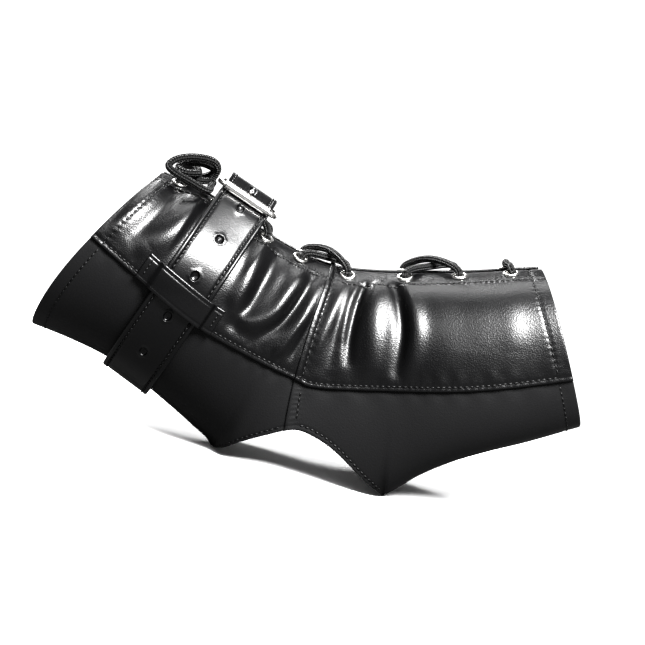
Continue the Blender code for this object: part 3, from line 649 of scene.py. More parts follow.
def upper_height(u, v, far=False):
    """The outer face of an upper panel over the form, v on the near side."""
    place = form(u, v)
    foot = np.mean(u) > ANKLE_FRONT + 0.2
    seam_gap = (seam_v(u) - v) * around(u, v)
    edge_gap = (v - edge_v(u)) * around(u, v)
    cuff_gap = (u - cuff_edge(v)) * along(u, v)
    toe_gap = (toe_edge(v) - u) * along(u, v)
    ankle_gap = (u - ankle_seam(v)) * along(u, v)
    strap_gap = np.abs(u - STRAP_STATION) * along(u, v) - STRAP_WIDTH / 2
    calm = np.clip((seam_gap - 0.0015) / 0.011, 0, 1) * np.clip((edge_gap - 0.007) / 0.008, 0, 1)
    calm *= np.clip((toe_gap - 0.004) / 0.010, 0, 1) * np.clip(cuff_gap / 0.006, 0.3, 1)
    calm *= 0.3 + 0.7 * np.clip(np.abs(ankle_gap) / 0.007, 0, 1)
    calm = calm * calm * (3 - 2 * calm) * np.clip((strap_gap - 0.0005) / 0.0045, 0, 1)
    height = crease_height(place, FOOT_CREASES if foot else SHIN_CREASES, 1.6 if far else 0.0) * calm
    run = u * STATION_RUN
    height += pucker(seam_gap - SEAM_STITCH, run, 0.0004)
    height += pucker(edge_gap - FACING_STITCH, run, 0.0003)
    height += pucker(cuff_gap - HEM_STITCH, v * ROUND_RUN, 0.0003)
    height += pucker(toe_gap - HEM_STITCH, v * ROUND_RUN, 0.0003)
    slack = np.cos(math.tau * run / 0.0125) * 0.5 + np.cos(math.tau * run / 0.0083 + 1.7) * 0.5
    height += 0.00028 * slack * bell(seam_gap - 0.0065, 0.0038)
    if foot:
        height += pucker(ankle_gap - ANKLE_STITCH, v * ROUND_RUN, 0.0004) + lap_raise(ankle_gap)
    return UPPER_TOP + height


def upper_panel(name, start, end, lengths, far):
    s_rows, t_rows = rows(lengths[0], UPPER_STEP), rows(lengths[1], UPPER_STEP)

    def spot(s, t, layer):
        u, v = solved(s, t, start, end, edge_v, seam_v)
        gap = np.minimum(np.minimum(s, 1 - s) * lengths[0], np.minimum(t, 1 - t) * lengths[1])
        drop = rounded_drop(gap)
        top = upper_height(u, v, far)
        height = np.where(layer > 0.5, top - drop, top - LEATHER + drop)
        return over(u, on_side(v, far), height)

    mesh = wrapped(name, s_rows, t_rows, spot)
    return finished(name + "_skin", mesh, upper_leather, nodes=(name,))


for far in (False, True):
    side = "far" if far else "near"
    upper_panel(f"shin_panel_{side}", cuff_edge, ankle_seam, SHIN_LENGTHS, far)
    upper_panel(f"foot_panel_{side}", lapped_start, toe_edge, FOOT_LENGTHS, far)

    def height(u, v):
        return upper_height(u, v, far)

    def whole_row(name, u, v):
        surface_row(f"{name}_{side}", u, on_side(v, far), height)

    for part, first, last in (("shin", 0.35, 8.35), ("foot", 8.62, 15.75)):
        u_row = np.linspace(first, last, 200)
        v_row = seam_v(u_row) - SEAM_STITCH / around(u_row, seam_v(u_row))
        whole_row(f"seam_stitches_{part}", u_row, v_row)
        u_row = np.linspace(first + 0.2, last - 0.1 - (0.3 if part == "shin" else 0), 200)
        v_row = edge_v(u_row) + FACING_STITCH / around(u_row, edge_v(u_row) + 0.05)
        whole_row(f"facing_stitches_{part}", u_row, v_row)
    v_row = np.linspace(float(edge_v(8.1)) + 0.02, float(seam_v(8.4)) - 0.02, 80)
    whole_row("ankle_stitches", ankle_seam(v_row) + ANKLE_STITCH / along(8.5, v_row), v_row)
    v_row = np.linspace(float(edge_v(0.5)) + 0.01, float(seam_v(0.5)) - 0.01, 80)
    whole_row("cuff_stitches", cuff_edge(v_row) + HEM_STITCH / along(0.5, v_row), v_row)
    v_row = np.linspace(float(edge_v(15.5)) + 0.01, float(seam_v(15.5)) - 0.01, 80)
    whole_row("toe_stitches", toe_edge(v_row) - HEM_STITCH / along(15.5, v_row), v_row)

# ---------------------------------------------------------------------------------------------
# Facings: matte leather strips under the lacing edges, which back the eyelets. Each is cut in
# one length from cuff to toe and sewn under its edge.
# ---------------------------------------------------------------------------------------------

FACING_WIDTH = 0.022
inner_leather = leather("inner_leather", (0.007, 0.007, 0.0075), 0.58, 1000.0, 0.00010, specular=0.25)


def facing(name, far):
    lengths = (0.245, FACING_WIDTH)
    s_rows, t_rows = rows(lengths[0], 0.003), rows(lengths[1], 0.0015)

    def spot(s, t, layer):
        u = 0.15 + (LAST_STATION - 0.25) * s
        v = edge_v(u) + FACING_WIDTH / around(u, edge_v(u) + 0.03) * t
        gap = np.minimum(np.minimum(s, 1 - s) * lengths[0], np.minimum(t, 1 - t) * lengths[1])
        drop = rounded_drop(gap)
        return over(u, on_side(v, far), np.where(layer > 0.5, -drop, drop - LEATHER))

    mesh = wrapped(name, s_rows, t_rows, spot)
    return finished(name + "_skin", mesh, inner_leather, nodes=(name,))


facing("facing_near", False)
facing("facing_far", True)

# ---------------------------------------------------------------------------------------------
# Tongue: soft matte leather under the lace from cuff to toe, a little swollen, with a stitched
# border.
# ---------------------------------------------------------------------------------------------

TONGUE_HALF_WIDTH = 0.026
FIT_GAP = 0.0003
EYELET_CLINCH = -LEATHER - LAYER_GAP
EYELET_LIP = 0.0006
LACE_DIAMETER = 0.0042
LACE_IN = EYELET_CLINCH - EYELET_LIP - FIT_GAP - LACE_DIAMETER / 2
TONGUE_TOP = LACE_IN - LACE_DIAMETER / 2 - LAYER_GAP


def tongue_half(u):
    return np.interp(u, U_TABLE, TONGUE_TABLE)


TONGUE_TABLE = v_off_middle(TONGUE_HALF_WIDTH)
tongue_lengths = (0.24, 0.056)


def tongue_spot(s, t, layer):
    u = 0.1 + 15.5 * s
    v = tongue_half(u) * (2 * t - 1)
    side_gap = np.minimum(t, 1 - t) * tongue_lengths[1]
    gap = np.minimum(np.minimum(s, 1 - s) * tongue_lengths[0], side_gap)
    swell = 0.0004 * np.sin(u * 2.3 + 1.2 * np.sin(v * 9)) * np.clip((side_gap - 0.006) / 0.01, 0, 1)
    swell += pucker(side_gap - 0.003, u * STATION_RUN, 0.0003)
    drop = rounded_drop(gap)
    height = np.where(layer > 0.5, swell - drop, swell - LEATHER + drop)
    return over(u, v, TONGUE_TOP + height)


tongue = wrapped("tongue", rows(tongue_lengths[0], 0.0018), rows(tongue_lengths[1], 0.0014), tongue_spot)
finished("tongue_skin", tongue, inner_leather, nodes=("tongue",))

# ---------------------------------------------------------------------------------------------
# Eyelets: sixteen nickel rings, turned from sheet, pushed through the leather and rolled over
# on the inside.
# ---------------------------------------------------------------------------------------------

EYELET_BORE = 0.0052
EYELET_OUTER = 0.0092
EYELET_WALL = 0.0004
EYELET_INSET = 0.0065
nickel = material("nickel", (0.90, 0.89, 0.87), 0.24, metallic=1.0)[0]
EYELET_STATIONS = (14.9, 13.0, 11.0, 9.0, 6.05, 4.45, 2.35, 0.8)


def turned_ring(name, profile, steps, place):
    """A closed profile of (radius, height) places spun once about Z, then put in place."""
    ring = bmesh.new()
    corners = [ring.verts.new((r, 0, h)) for r, h in profile]
    outline = [ring.edges.new(pair) for pair in zip(corners, corners[1:] + corners[:1])]
    about = {"axis": (0, 0, 1), "angle": math.tau, "steps": steps, "use_merge": True}
    bmesh.ops.spin(ring, geom=corners + outline, **about)
    faces_out(ring)
    ring.transform(place)
    mesh = bpy.data.meshes.new(name)
    ring.to_mesh(mesh)
    ring.free()
    return mesh


def eyelet_spot(row, far):
    u = EYELET_STATIONS[row]
    v = float(edge_v(u)) + EYELET_INSET / float(around(u, float(edge_v(u)) + 0.02))
    return u, on_side(v, far)


def standing(middle, off, across):
    """A place whose Z points off the leather."""
    z = unit(np.asarray(off, float))
    y = unit(np.cross(z, across))
    x = np.cross(y, z)
    turned = Matrix(np.stack([x, y, z], 1).tolist()).to_4x4()
    return Matrix.Translation(np.asarray(middle, float).tolist()) @ turned


bore, lip = EYELET_BORE / 2, EYELET_OUTER / 2
seat = UPPER_TOP + 0.00005
roll = [(math.cos(angle), math.sin(angle)) for angle in np.linspace(0.0, math.pi, 9)]
width = (lip - bore) / 2
eyelet_profile = [(bore + width + width * c, seat + 0.0011 * s) for c, s in roll]
eyelet_profile += [(bore, EYELET_CLINCH - 0.0002), (bore + 0.0004, EYELET_CLINCH - 0.0005)]
eyelet_profile += [(bore + 0.0014, EYELET_CLINCH - 0.0003), (bore + 0.0016, EYELET_CLINCH)]
eyelet_profile += [(bore + EYELET_WALL, EYELET_CLINCH + 0.0001), (bore + EYELET_WALL, seat)]
for far in (False, True):
    side = "far" if far else "near"
    for row in range(len(EYELET_STATIONS)):
        u, v = eyelet_spot(row, far)
        lift = float(upper_height(np.array([u]), np.array([on_side(v, far)]))[0]) - UPPER_TOP
        lift = min(max(lift, -0.0002), 0.0008)
        off = outward(u, v)
        seated = standing(form(u, v) + off * lift, off, form(u + 0.05, v) - form(u - 0.05, v))
        mesh = turned_ring("eyelet", eyelet_profile, 36, seated)
        node = f"eyelet_{side}_{row + 1}"
        finished(f"eyelet_ring_{side}_{row + 1}", mesh, nickel, nodes=(node,), angle=60)

# ---------------------------------------------------------------------------------------------
# Strap: one long glossy belt, folded round the buckle's bar and sewn, taken round the leg, under
# the roller, over the bar and back down the far side. Both its edges are stitched.
# ---------------------------------------------------------------------------------------------

STRAP_THICKNESS = 0.0018
STRAP_STITCH = 0.0030
STRAP_HOLE = (0.0052, 0.0042)
PRONG_HOLE = (0.0100, 0.0042)
STRAP_HOLE_PITCH = 0.0254
STRAP_HOLE_SHIFT = 0.0078
STRAP_BEAD = 0.00045
STRAP_TIP = 0.012
strap_leather = leather("strap_leather", (0.0025, 0.0025, 0.0028), 0.30, 1300.0, 0.00004, specular=0.5)
BUCKLE_WIRE = 0.0030
BUCKLE_REACH = 0.026
BUCKLE_RISE = 0.0118
ROLLER_DIAMETER = 0.0055
PRONG_WIRE = 0.0024
HEEL_BAR_Y, ROLLER_Y = -BUCKLE_REACH / 2, BUCKLE_REACH / 2
FOLD_RADIUS = BUCKLE_WIRE / 2 + FIT_GAP + STRAP_THICKNESS / 2
ROLLER_UNDER = BUCKLE_RISE - ROLLER_DIAMETER / 2 - FIT_GAP - STRAP_THICKNESS / 2
PRONG_EYE = BUCKLE_WIRE / 2 + FIT_GAP + PRONG_WIRE / 2
TAIL_OVER_BAR = BUCKLE_RISE + PRONG_EYE + PRONG_WIRE / 2 + 2 * FIT_GAP + STRAP_THICKNESS / 2
STRAP_MIDDLE = UPPER_TOP + LAYER_GAP + STRAP_THICKNESS / 2
STRAP_STEP = STRAP_THICKNESS + LAYER_GAP

up_leg = unit(form(STRAP_STATION - 0.8, 0.0) - form(STRAP_STATION + 0.8, 0.0))
across_shin = np.array((0.0, -1.0, 0.0))
off_shin = np.cross(up_leg, across_shin)
BUCKLE_MIDDLE = form(STRAP_STATION, 0.0)


def at_buckle(x, y, z):
    return BUCKLE_MIDDLE + up_leg * x + across_shin * y + off_shin * z


first, second, third = (STRAP_MIDDLE + STRAP_STEP * k for k in range(3))
route = [("form", 1.745, first), ("form", 1.800, first)]
route += [("free", HEEL_BAR_Y - 0.006, BUCKLE_RISE - FOLD_RADIUS - 0.0008)]
for k in range(7):
    angle = -math.pi / 2 + math.pi * k / 6
    reach = FOLD_RADIUS * math.cos(angle)
    route.append(("free", HEEL_BAR_Y + reach, BUCKLE_RISE + FOLD_RADIUS * math.sin(angle)))
route += [("free", HEEL_BAR_Y - 0.006, BUCKLE_RISE + FOLD_RADIUS - 0.0012)]
route += [("form", 1.800, second + 0.0009), ("form", 1.745, second + 0.0003)]
route += [("form", 1.700, first + 0.0004), ("form", 1.650, first)]
route += [("form", 1.60 - 0.05 * k, first) for k in range(28)]
route += [("form", 0.205, first + 0.0006)]
for past, lift in ((0.0075, -0.0022), (0.003, -0.0003), (-0.001, 0.0002), (-0.006, 0.0018)):
    route.append(("free", ROLLER_Y + past, ROLLER_UNDER + lift))
route.append(("free", 0.002, (ROLLER_UNDER + TAIL_OVER_BAR) / 2))
for past, lift in ((0.007, -0.0016), (0.002, 0.0), (-0.003, -0.0002), (-0.0085, -0.0030)):
    route.append(("free", HEEL_BAR_Y + past, TAIL_OVER_BAR + lift))
route += [("form", 1.800, third + 0.0026), ("form", 1.745, third + 0.0010)]
route += [("form", 1.700, second + 0.0012), ("form", 1.650, second + 0.0004)]
route += [("form", 1.60 - 0.05 * k, second) for k in range(6)]


def strap_edge(kind, place, height, side):
    if kind == "free":
        return at_buckle(side * STRAP_WIDTH / 2, place, height)
    reach = STRAP_WIDTH / 2 / along(STRAP_STATION, place)
    return over(STRAP_STATION - side * reach, place, np.array(height))


edges = np.array([[strap_edge(*stop, side) for side in (1, -1)] for stop in route])
fine = np.linspace(0, len(edges) - 1, 4000)
upper_line, lower_line = through(edges[:, 0], fine), through(edges[:, 1], fine)
middle_line = (upper_line + lower_line) / 2
run = np.concatenate([[0], np.cumsum(np.linalg.norm(np.diff(middle_line, axis=0), axis=1))])
even = np.linspace(0, run[-1], 4000)
for line in (upper_line, lower_line):
    line[:] = np.stack([np.interp(even, run, line[:, axis]) for axis in range(3)], -1)
    for _ in range(900):
        eased = line.copy()
        eased[1:-1] = line[1:-1] * 0.5 + (line[:-2] + line[2:]) * 0.25
        line[even > 0.05] = eased[even > 0.05]
middle_line = (upper_line + lower_line) / 2
STRAP_RUN = np.concatenate([[0], np.cumsum(np.linalg.norm(np.diff(middle_line, axis=0), axis=1))])
STRAP_LENGTH = STRAP_RUN[-1]
strap_ahead = unit(np.gradient(middle_line, axis=0))
strap_across = unit(lower_line - upper_line)
strap_off = unit(np.cross(strap_ahead, strap_across))
beside_ankle = over(STRAP_STATION, 0.5, np.array(first))
at_near_side = np.argmin(np.linalg.norm(middle_line - beside_ankle, axis=1))
if strap_off[at_near_side] @ outward(STRAP_STATION, 0.5) < 0:
    strap_off = -strap_off


def along_strap(table, run):
    return np.stack([np.interp(run, STRAP_RUN, table[:, axis]) for axis in range(3)], -1)


SEAM_UNDER_STRAP = float(seam_v(STRAP_STATION))
hole_spots = []
for k in range(4):
    past_seam = (k - 1.5) * STRAP_HOLE_PITCH - STRAP_HOLE_SHIFT
    v = SEAM_UNDER_STRAP + past_seam / float(around(STRAP_STATION, SEAM_UNDER_STRAP))
    hole_spots.append(over(STRAP_STATION, v, np.array(STRAP_MIDDLE)))
hole_spots.append(at_buckle(0, ROLLER_Y + 0.0085, ROLLER_UNDER - 0.0026))
hole_spots.append(at_buckle(0, -0.0035, (ROLLER_UNDER + TAIL_OVER_BAR) / 2 + 0.0018))
HOLES = []
for spot in hole_spots:
    nearest = np.argmin(np.linalg.norm(middle_line - spot, axis=1))
    HOLES.append((STRAP_RUN[nearest], *STRAP_HOLE))
HOLES[-1] = (HOLES[-1][0], *PRONG_HOLE)
for k in range(1, 4):
    HOLES.append((STRAP_LENGTH - STRAP_TIP - STRAP_HOLE_PITCH * k, *STRAP_HOLE))

run_rows = [np.linspace(0, STRAP_LENGTH, int(STRAP_LENGTH / 0.0020)), np.array((0.0002, 0.0005, 0.001))]
run_rows.append(STRAP_LENGTH - np.array((0.0002, 0.0005, 0.001)))
for middle, hole_length, hole_width in HOLES:
    reach = hole_length / 2 + 0.0012
    run_rows.append(middle + np.linspace(-reach, reach, int(2 * reach / 0.0003)))
run_rows = np.unique(np.round(np.concatenate(run_rows), 6))
run_rows = run_rows[np.concatenate([[True], np.diff(run_rows) > 0.00012])]
run_rows[-1] = STRAP_LENGTH
to_holes = rows(0.0130, 0.0008)[:-5] * 0.0130 / STRAP_WIDTH
cross_rows = np.concatenate([to_holes, np.linspace(0.0128, 0.0182, 19) / STRAP_WIDTH])
cross_rows = np.unique(np.round(np.concatenate([cross_rows, 1 - cross_rows]), 6))


def strap_pit(run, across):
    """How deep the strap's face lies at each place because of its punched holes, and their rims."""
    pit = np.zeros(len(run))
    for middle, hole_length, hole_width in HOLES:
        stretch = (hole_length - hole_width) / 2
        past = np.maximum(np.abs(run - middle) - stretch, 0)
        edge = np.hypot(past, across) - hole_width / 2
        sunk = 0.0009 + 0.0007 * np.clip(-2 * edge / hole_width, 0, 1)
        pit += -sunk * np.clip(0.5 - edge / 0.0003, 0, 1) + 0.0003 * bell(edge - 0.0007, 0.0006)
    return pit


def strap_profile(side_gap):
    bead = STRAP_BEAD * bell(side_gap - 0.0014, 0.0011)
    return bead - STRAP_BEAD * bell(side_gap - STRAP_STITCH, 0.0008)


def strap_spot(s, t, layer):
    run = s * STRAP_LENGTH
    side_gap = np.minimum(t, 1 - t) * STRAP_WIDTH
    tip = np.clip((STRAP_LENGTH - run) / STRAP_TIP, 0, 1)
    narrow = np.sqrt(np.clip(1 - (1 - tip) ** 2, 0.0, 1)) * 0.9 + 0.1
    share = 0.5 + (t - 0.5) * narrow
    middle = along_strap(upper_line, run) * (1 - share)[:, None]
    middle += along_strap(lower_line, run) * share[:, None]
    drop = rounded_drop(np.minimum(side_gap, np.minimum(run, STRAP_LENGTH - run)))
    face = strap_profile(side_gap) + strap_pit(run, (t - 0.5) * STRAP_WIDTH)
    height = np.where(layer > 0.5, STRAP_THICKNESS / 2 + face - drop, drop - STRAP_THICKNESS / 2)
    return middle + along_strap(strap_off, run) * height[:, None]


strap = wrapped("ankle_strap", run_rows / STRAP_LENGTH, cross_rows, strap_spot)
finished("ankle_strap_skin", strap, strap_leather, nodes=("ankle_strap",))
for name, share in (("upper", STRAP_STITCH / STRAP_WIDTH), ("lower", 1 - STRAP_STITCH / STRAP_WIDTH)):
    run = np.linspace(0.003, STRAP_LENGTH - 0.010, 900)
    path = along_strap(upper_line, run) * (1 - share) + along_strap(lower_line, run) * share
    path += along_strap(strap_off, run) * (STRAP_THICKNESS / 2 - 0.0001)
    off = along_strap(strap_off, run)
    stitched(f"strap_stitches_{name}", path, off, thickness=0.0013)

# ---------------------------------------------------------------------------------------------
# Belt loops: short bands across the strap at both side seams, their ends turned down and sewn.
# They are cut from the strap's own leather.
# ---------------------------------------------------------------------------------------------

LOOP_WIDTH = 0.015
LOOP_ABOVE_SEAM = 0.0075
LOOP_END = 0.0105
LOOP_LEATHER = 0.0015


def belt_loop(name, far):
    v_mid = SEAM_UNDER_STRAP - LOOP_ABOVE_SEAM / float(around(STRAP_STATION, SEAM_UNDER_STRAP))
    scale = float(along(STRAP_STATION, v_mid))
    girth = float(around(STRAP_STATION, v_mid))
    down = UPPER_TOP + 0.0002
    lifted = UPPER_TOP + 2 * LAYER_GAP + STRAP_THICKNESS + (STRAP_STEP if far else 0.0)
    length = STRAP_WIDTH + 2 * LOOP_END
    reach = STRAP_WIDTH / 2 + 0.0012

    def level(x):
        f = np.clip((reach + 0.0032 - np.abs(x)) / 0.0032, 0, 1)
        crown = 0.0012 * np.clip(1 - (x / reach) ** 2, 0, 1)
        return down + (lifted - down) * f * f * (3 - 2 * f) + crown

    def spot(s, t, layer):
        x = (s - 0.5) * length
        u = STRAP_STATION + x / scale
        shift = LOOP_ABOVE_SEAM / girth - (t - 0.5) * LOOP_WIDTH / girth
        v = seam_v(u) - shift
        side_gap = np.minimum(t, 1 - t) * LOOP_WIDTH
        gap = np.minimum(np.minimum(s, 1 - s) * length, side_gap)
        drop = rounded_drop(gap, 0.0006)
        face = -0.00030 * bell(side_gap - 0.0021, 0.0004)
        height = np.where(layer > 0.5, level(x) + LOOP_LEATHER + face - drop, level(x) + drop)
        return over(u, on_side(v, far), height)

    mesh = wrapped(name, rows(length, 0.0008), rows(LOOP_WIDTH, 0.0006), spot)
    finished(name + "_skin", mesh, strap_leather, nodes=(name,))
    for end in (-1, 1):
        t = np.linspace(0.14, 0.86, 24)
        x = end * (length / 2 - 0.0028)
        u = STRAP_STATION + x / scale
        v = seam_v(u) - LOOP_ABOVE_SEAM / girth + (t - 0.5) * LOOP_WIDTH / girth
        v = on_side(v, far)
        path = over(u, v, level(np.full(len(t), x)) + LOOP_LEATHER - 0.0001)
        row = f"{name}_stitches_{'low' if end > 0 else 'high'}"
        stitched(row, path, outward(u, v), pitch=0.0025, length=0.0018)


belt_loop("belt_loop_near", False)
belt_loop("belt_loop_far", True)

# ---------------------------------------------------------------------------------------------
# Buckle: a nickel wire frame bent to a rounded rectangle, a tube that rolls on its outer bar, and
# a prong whose eye is bent round its inner bar.
# ---------------------------------------------------------------------------------------------

def tube(name, path, radii, sides, closed=False, across=None, ripple=None):
    """A round bar along a path, its radius rippled if asked. A closed one has no ends."""
    path = np.asarray(path, float)
    count = len(path)
    radii = np.broadcast_to(np.asarray(radii, float), (count,))
    steps = np.roll(path, -1, 0) - np.roll(path, 1, 0) if closed else np.gradient(path, axis=0)
    ahead = unit(steps)
    side = np.zeros((count, 3))
    seed = np.array(across if across is not None else (0.0, 0.0, 1.0))
    for k in range(count):
        seed = unit(seed - ahead[k] * (seed @ ahead[k]))
        side[k] = seed
    if closed:
        side = np.broadcast_to(np.array(across, float), side.shape)
        side = unit(side - ahead * np.sum(side * ahead, 1, keepdims=True))
    other = np.cross(ahead, side)
    s_rows = np.linspace(0, 1, count + (1 if closed else 0))
    t_rows = np.linspace(0, 1, sides + 1)

    def spot(s, t, layer):
        k = np.rint(s * (len(s_rows) - 1)).astype(int) % count
        angle = math.tau * t
        round_it = side[k] * np.cos(angle)[:, None] + other[k] * np.sin(angle)[:, None]
        reach = radii[k] * ripple(s, t) if ripple else radii[k]
        return path[k] + round_it * reach[:, None]

    mesh = wrapped(name, s_rows, t_rows, spot, thick=False, joined=True)
    if not closed:
        ends = bmesh.new()
        ends.from_mesh(mesh)
        rims = [edge for edge in ends.edges if edge.is_boundary]
        bmesh.ops.holes_fill(ends, edges=rims, sides=0)
        bmesh.ops.recalc_face_normals(ends, faces=ends.faces)
        ends.to_mesh(mesh)
        ends.free()
    return mesh


BUCKLE_CORNER = 0.0035
BUCKLE_SIDE_CLEARANCE = 0.0012
half = STRAP_WIDTH / 2 + BUCKLE_SIDE_CLEARANCE + BUCKLE_WIRE / 2
outline = []
for sx, sy, turn in ((1, 1, 0), (-1, 1, 90), (-1, -1, 180), (1, -1, 270)):
    for angle in np.radians(turn + np.linspace(0, 90, 9)):
        x = sx * (half - BUCKLE_CORNER) + BUCKLE_CORNER * math.cos(angle)
        y = sy * (BUCKLE_REACH / 2 - BUCKLE_CORNER) + BUCKLE_CORNER * math.sin(angle)
        outline.append(at_buckle(x, y, BUCKLE_RISE))
frame_mesh = tube("buckle_frame", outline, BUCKLE_WIRE / 2, 20, closed=True, across=off_shin)
finished("buckle_wire", frame_mesh, nickel, body="buckle", nodes=("buckle_frame",), angle=0)

inner, outer, length = BUCKLE_WIRE / 2 + FIT_GAP, ROLLER_DIAMETER / 2, STRAP_WIDTH / 2 - 0.0012
ease = 0.0004
roller_profile = [(inner, -length + ease), (inner + ease, -length)]
roller_profile += [(outer - ease, -length), (outer, -length + ease)]
roller_profile += [(r, -h) for r, h in roller_profile[::-1]]
roller_frame = standing(at_buckle(0, ROLLER_Y, BUCKLE_RISE), up_leg, across_shin)
mesh = turned_ring("buckle_roller", roller_profile, 48, roller_frame)
finished("roller_tube", mesh, nickel, body="roller", nodes=("buckle_roller",), angle=35)

prong_route = []
for k in range(11):
    angle = math.radians(-45 - 27 * k)
    y, z = PRONG_EYE * math.cos(angle), PRONG_EYE * math.sin(angle)
    prong_route.append((0.0, HEEL_BAR_Y + y, BUCKLE_RISE + z))
over_roller = ROLLER_DIAMETER / 2 + PRONG_WIRE / 2 + FIT_GAP
for y, z in (
    (0.0050, 0.0032),
    (0.0110, 0.0036),
    (0.0180, over_roller - 0.0002),
    (BUCKLE_REACH - 0.0010, over_roller + 0.0002),
    (BUCKLE_REACH + 0.0030, over_roller - 0.0004),
):
    prong_route.append((0.0, HEEL_BAR_Y + y, BUCKLE_RISE + z))
prong_stops = np.array([at_buckle(*stop) for stop in prong_route])
prong_line = through(prong_stops, np.linspace(0, len(prong_route) - 1, 70))
thin = np.interp(np.arange(70), (0, 2, 58, 66, 69), (0.7, 1.0, 1.0, 0.85, 0.45)) * PRONG_WIRE / 2
mesh = tube("buckle_prong", prong_line, thin, 16, across=up_leg)
finished("prong_bar", mesh, nickel, body="prong", nodes=("buckle_prong",), angle=40)

# ---------------------------------------------------------------------------------------------
# Lace: one round braided cord, crossed through the eyelets from the toe up and tied in a bow
# over the cuff. Its two ends are bound in plastic tips.
# ---------------------------------------------------------------------------------------------

LACE_OUT = UPPER_TOP + 2 * LAYER_GAP + EYELET_LIP + LACE_DIAMETER / 2
LACE_RISE = 0.0012
AGLET_LENGTH = 0.018
BRAID_PITCH = 0.0030
aglet_plastic = material("aglet_plastic", (0.012, 0.012, 0.013), 0.28)[0]


def lace_spot(row, far, height):
    u, v = eyelet_spot(row, far)
    return over(u, v, np.array(height))


def laced_half(near_first):
    far = not near_first
    points = []
    for row in range(0, len(EYELET_STATIONS), 2):
        points += [lace_spot(row, far, LACE_OUT), lace_spot(row, far, LACE_IN)]
        points += [lace_spot(row + 1, far, LACE_IN), lace_spot(row + 1, far, LACE_OUT)]
        if row + 2 < len(EYELET_STATIONS):
            lift = LACE_RISE
            if near_first == (row % 4 == 0):
                lift += LACE_DIAMETER + FIT_GAP
            u = (EYELET_STATIONS[row + 1] + EYELET_STATIONS[row + 2]) / 2
            middle = (points[-1] + lace_spot(row + 2, not far, LACE_OUT)) / 2
            points.append(middle + outward(u, 0.0) * lift)
        far = not far
    return points


BOW_NEAR = (
    (-149.0, -11.0, 146.8),
    (-140.5, -7.0, 147.5),
    (-137.6, -7.0, 150.9),
    (-136.6, -11.0, 156.6),
    (-141.1, -15.0, 159.8),
    (-150.7, -19.0, 159.3),
    (-159.2, -23.0, 156.2),
    (-162.7, -26.0, 151.6),
    (-157.8, -28.0, 148.6),
    (-149.0, -28.0, 146.1),
    (-141.2, -26.0, 143.6),
    (-137.9, -20.0, 143.4),
    (-138.0, -11.0, 145.6),
    (-138.0, -2.0, 146.6),
    (-138.2, 6.0, 146.5),
    (-140.0, 14.0, 147.0),
    (-146.0, 24.0, 146.5),
    (-151.5, 35.5, 140.5),
    (-157.5, 43.8, 132.0),
    (-163.5, 49.8, 120.5),
)
BOW_FAR = (
    (-146.8, 6.0, 147.4),
    (-140.2, 1.0, 151.0),
    (-138.5, -4.0, 154.6),
    (-144.3, -8.0, 156.4),
    (-151.1, -12.0, 155.8),
    (-156.7, -16.0, 153.3),
    (-157.3, -19.5, 150.7),
    (-152.2, -20.5, 150.0),
    (-147.0, -17.0, 151.0),
    (-146.5, -9.5, 150.8),
    (-147.5, -1.0, 151.6),
    (-150.5, 12.0, 152.5),
    (-156.0, 20.0, 150.5),
    (-162.0, 29.0, 145.0),
    (-166.0, 36.0, 138.0),
)
near_half, far_half = laced_half(True), laced_half(False)
bar = (near_half[0] + far_half[0]) / 2
near_half += [np.array(point) * MM + SHIFT for point in BOW_NEAR]
far_half += [np.array(point) * MM + SHIFT for point in BOW_FAR]
stops = np.array(far_half[::-1] + [bar] + near_half)
route = through(stops, np.linspace(0, len(stops) - 1, 12 * (len(stops) - 1) + 1))
for _ in range(10):
    route[1:-1] = route[1:-1] * 0.5 + (route[:-2] + route[2:]) * 0.25
run = np.concatenate([[0], np.cumsum(np.linalg.norm(np.diff(route, axis=0), axis=1))])
LACE_LENGTH = float(run[-1])
count = int(LACE_LENGTH / 0.0006)
evenly = np.linspace(0, LACE_LENGTH, count)
lace_line = np.stack([np.interp(evenly, run, route[:, axis]) for axis in range(3)], -1)


def braid(name, turns, rounds):
    """Round braid: two sets of strands that cross, going over and under each other."""
    finish, tree, shader = material(name, (0.004, 0.004, 0.0045), 0.55)
    place = fitted(tree, "ShaderNodeUVMap", {"uv_map": "UVMap"}, {})
    run = fitted(tree, "ShaderNodeSeparateXYZ", {}, {0: place})
    turn = fitted(tree, "ShaderNodeSeparateXYZ", {}, {0: place}, output=1)
    one = (run * (turns * math.tau) + turn * (rounds * math.tau)).sine()
    two = (run * (turns * math.tau) - turn * (rounds * math.tau)).sine()
    # The base colour is painted shade: darker in the gaps between the strands, lighter on their crowns,
    # though the thread is one black throughout.
    painted_strand_shade = one.absolute().power(0.7) * (two * 0.5 + 0.5)
    painted_strand_shade += two.absolute().power(0.7) * (0.5 - two * 0.5)
    bump(tree, shader, one * two, 0.00055)
    dark, light = (0.0015, 0.0015, 0.0015, 1), (0.0075, 0.0075, 0.0075, 1)
    shade = fitted(tree, "ShaderNodeMix", {"data_type": "RGBA"}, {0: painted_strand_shade, 6: dark, 7: light}, output=2)
    tree.links.new(shade.socket, shader.inputs["Base Color"])
    return finish


def braid_ripple(s, t):
    """Two sets of strands wound opposite ways, crossing over and under."""
    wind = math.tau * s * LACE_LENGTH / BRAID_PITCH
    one, two = np.sin(wind + 4 * math.tau * t), np.sin(wind - 4 * math.tau * t)
    return 0.955 + 0.06 * one * two


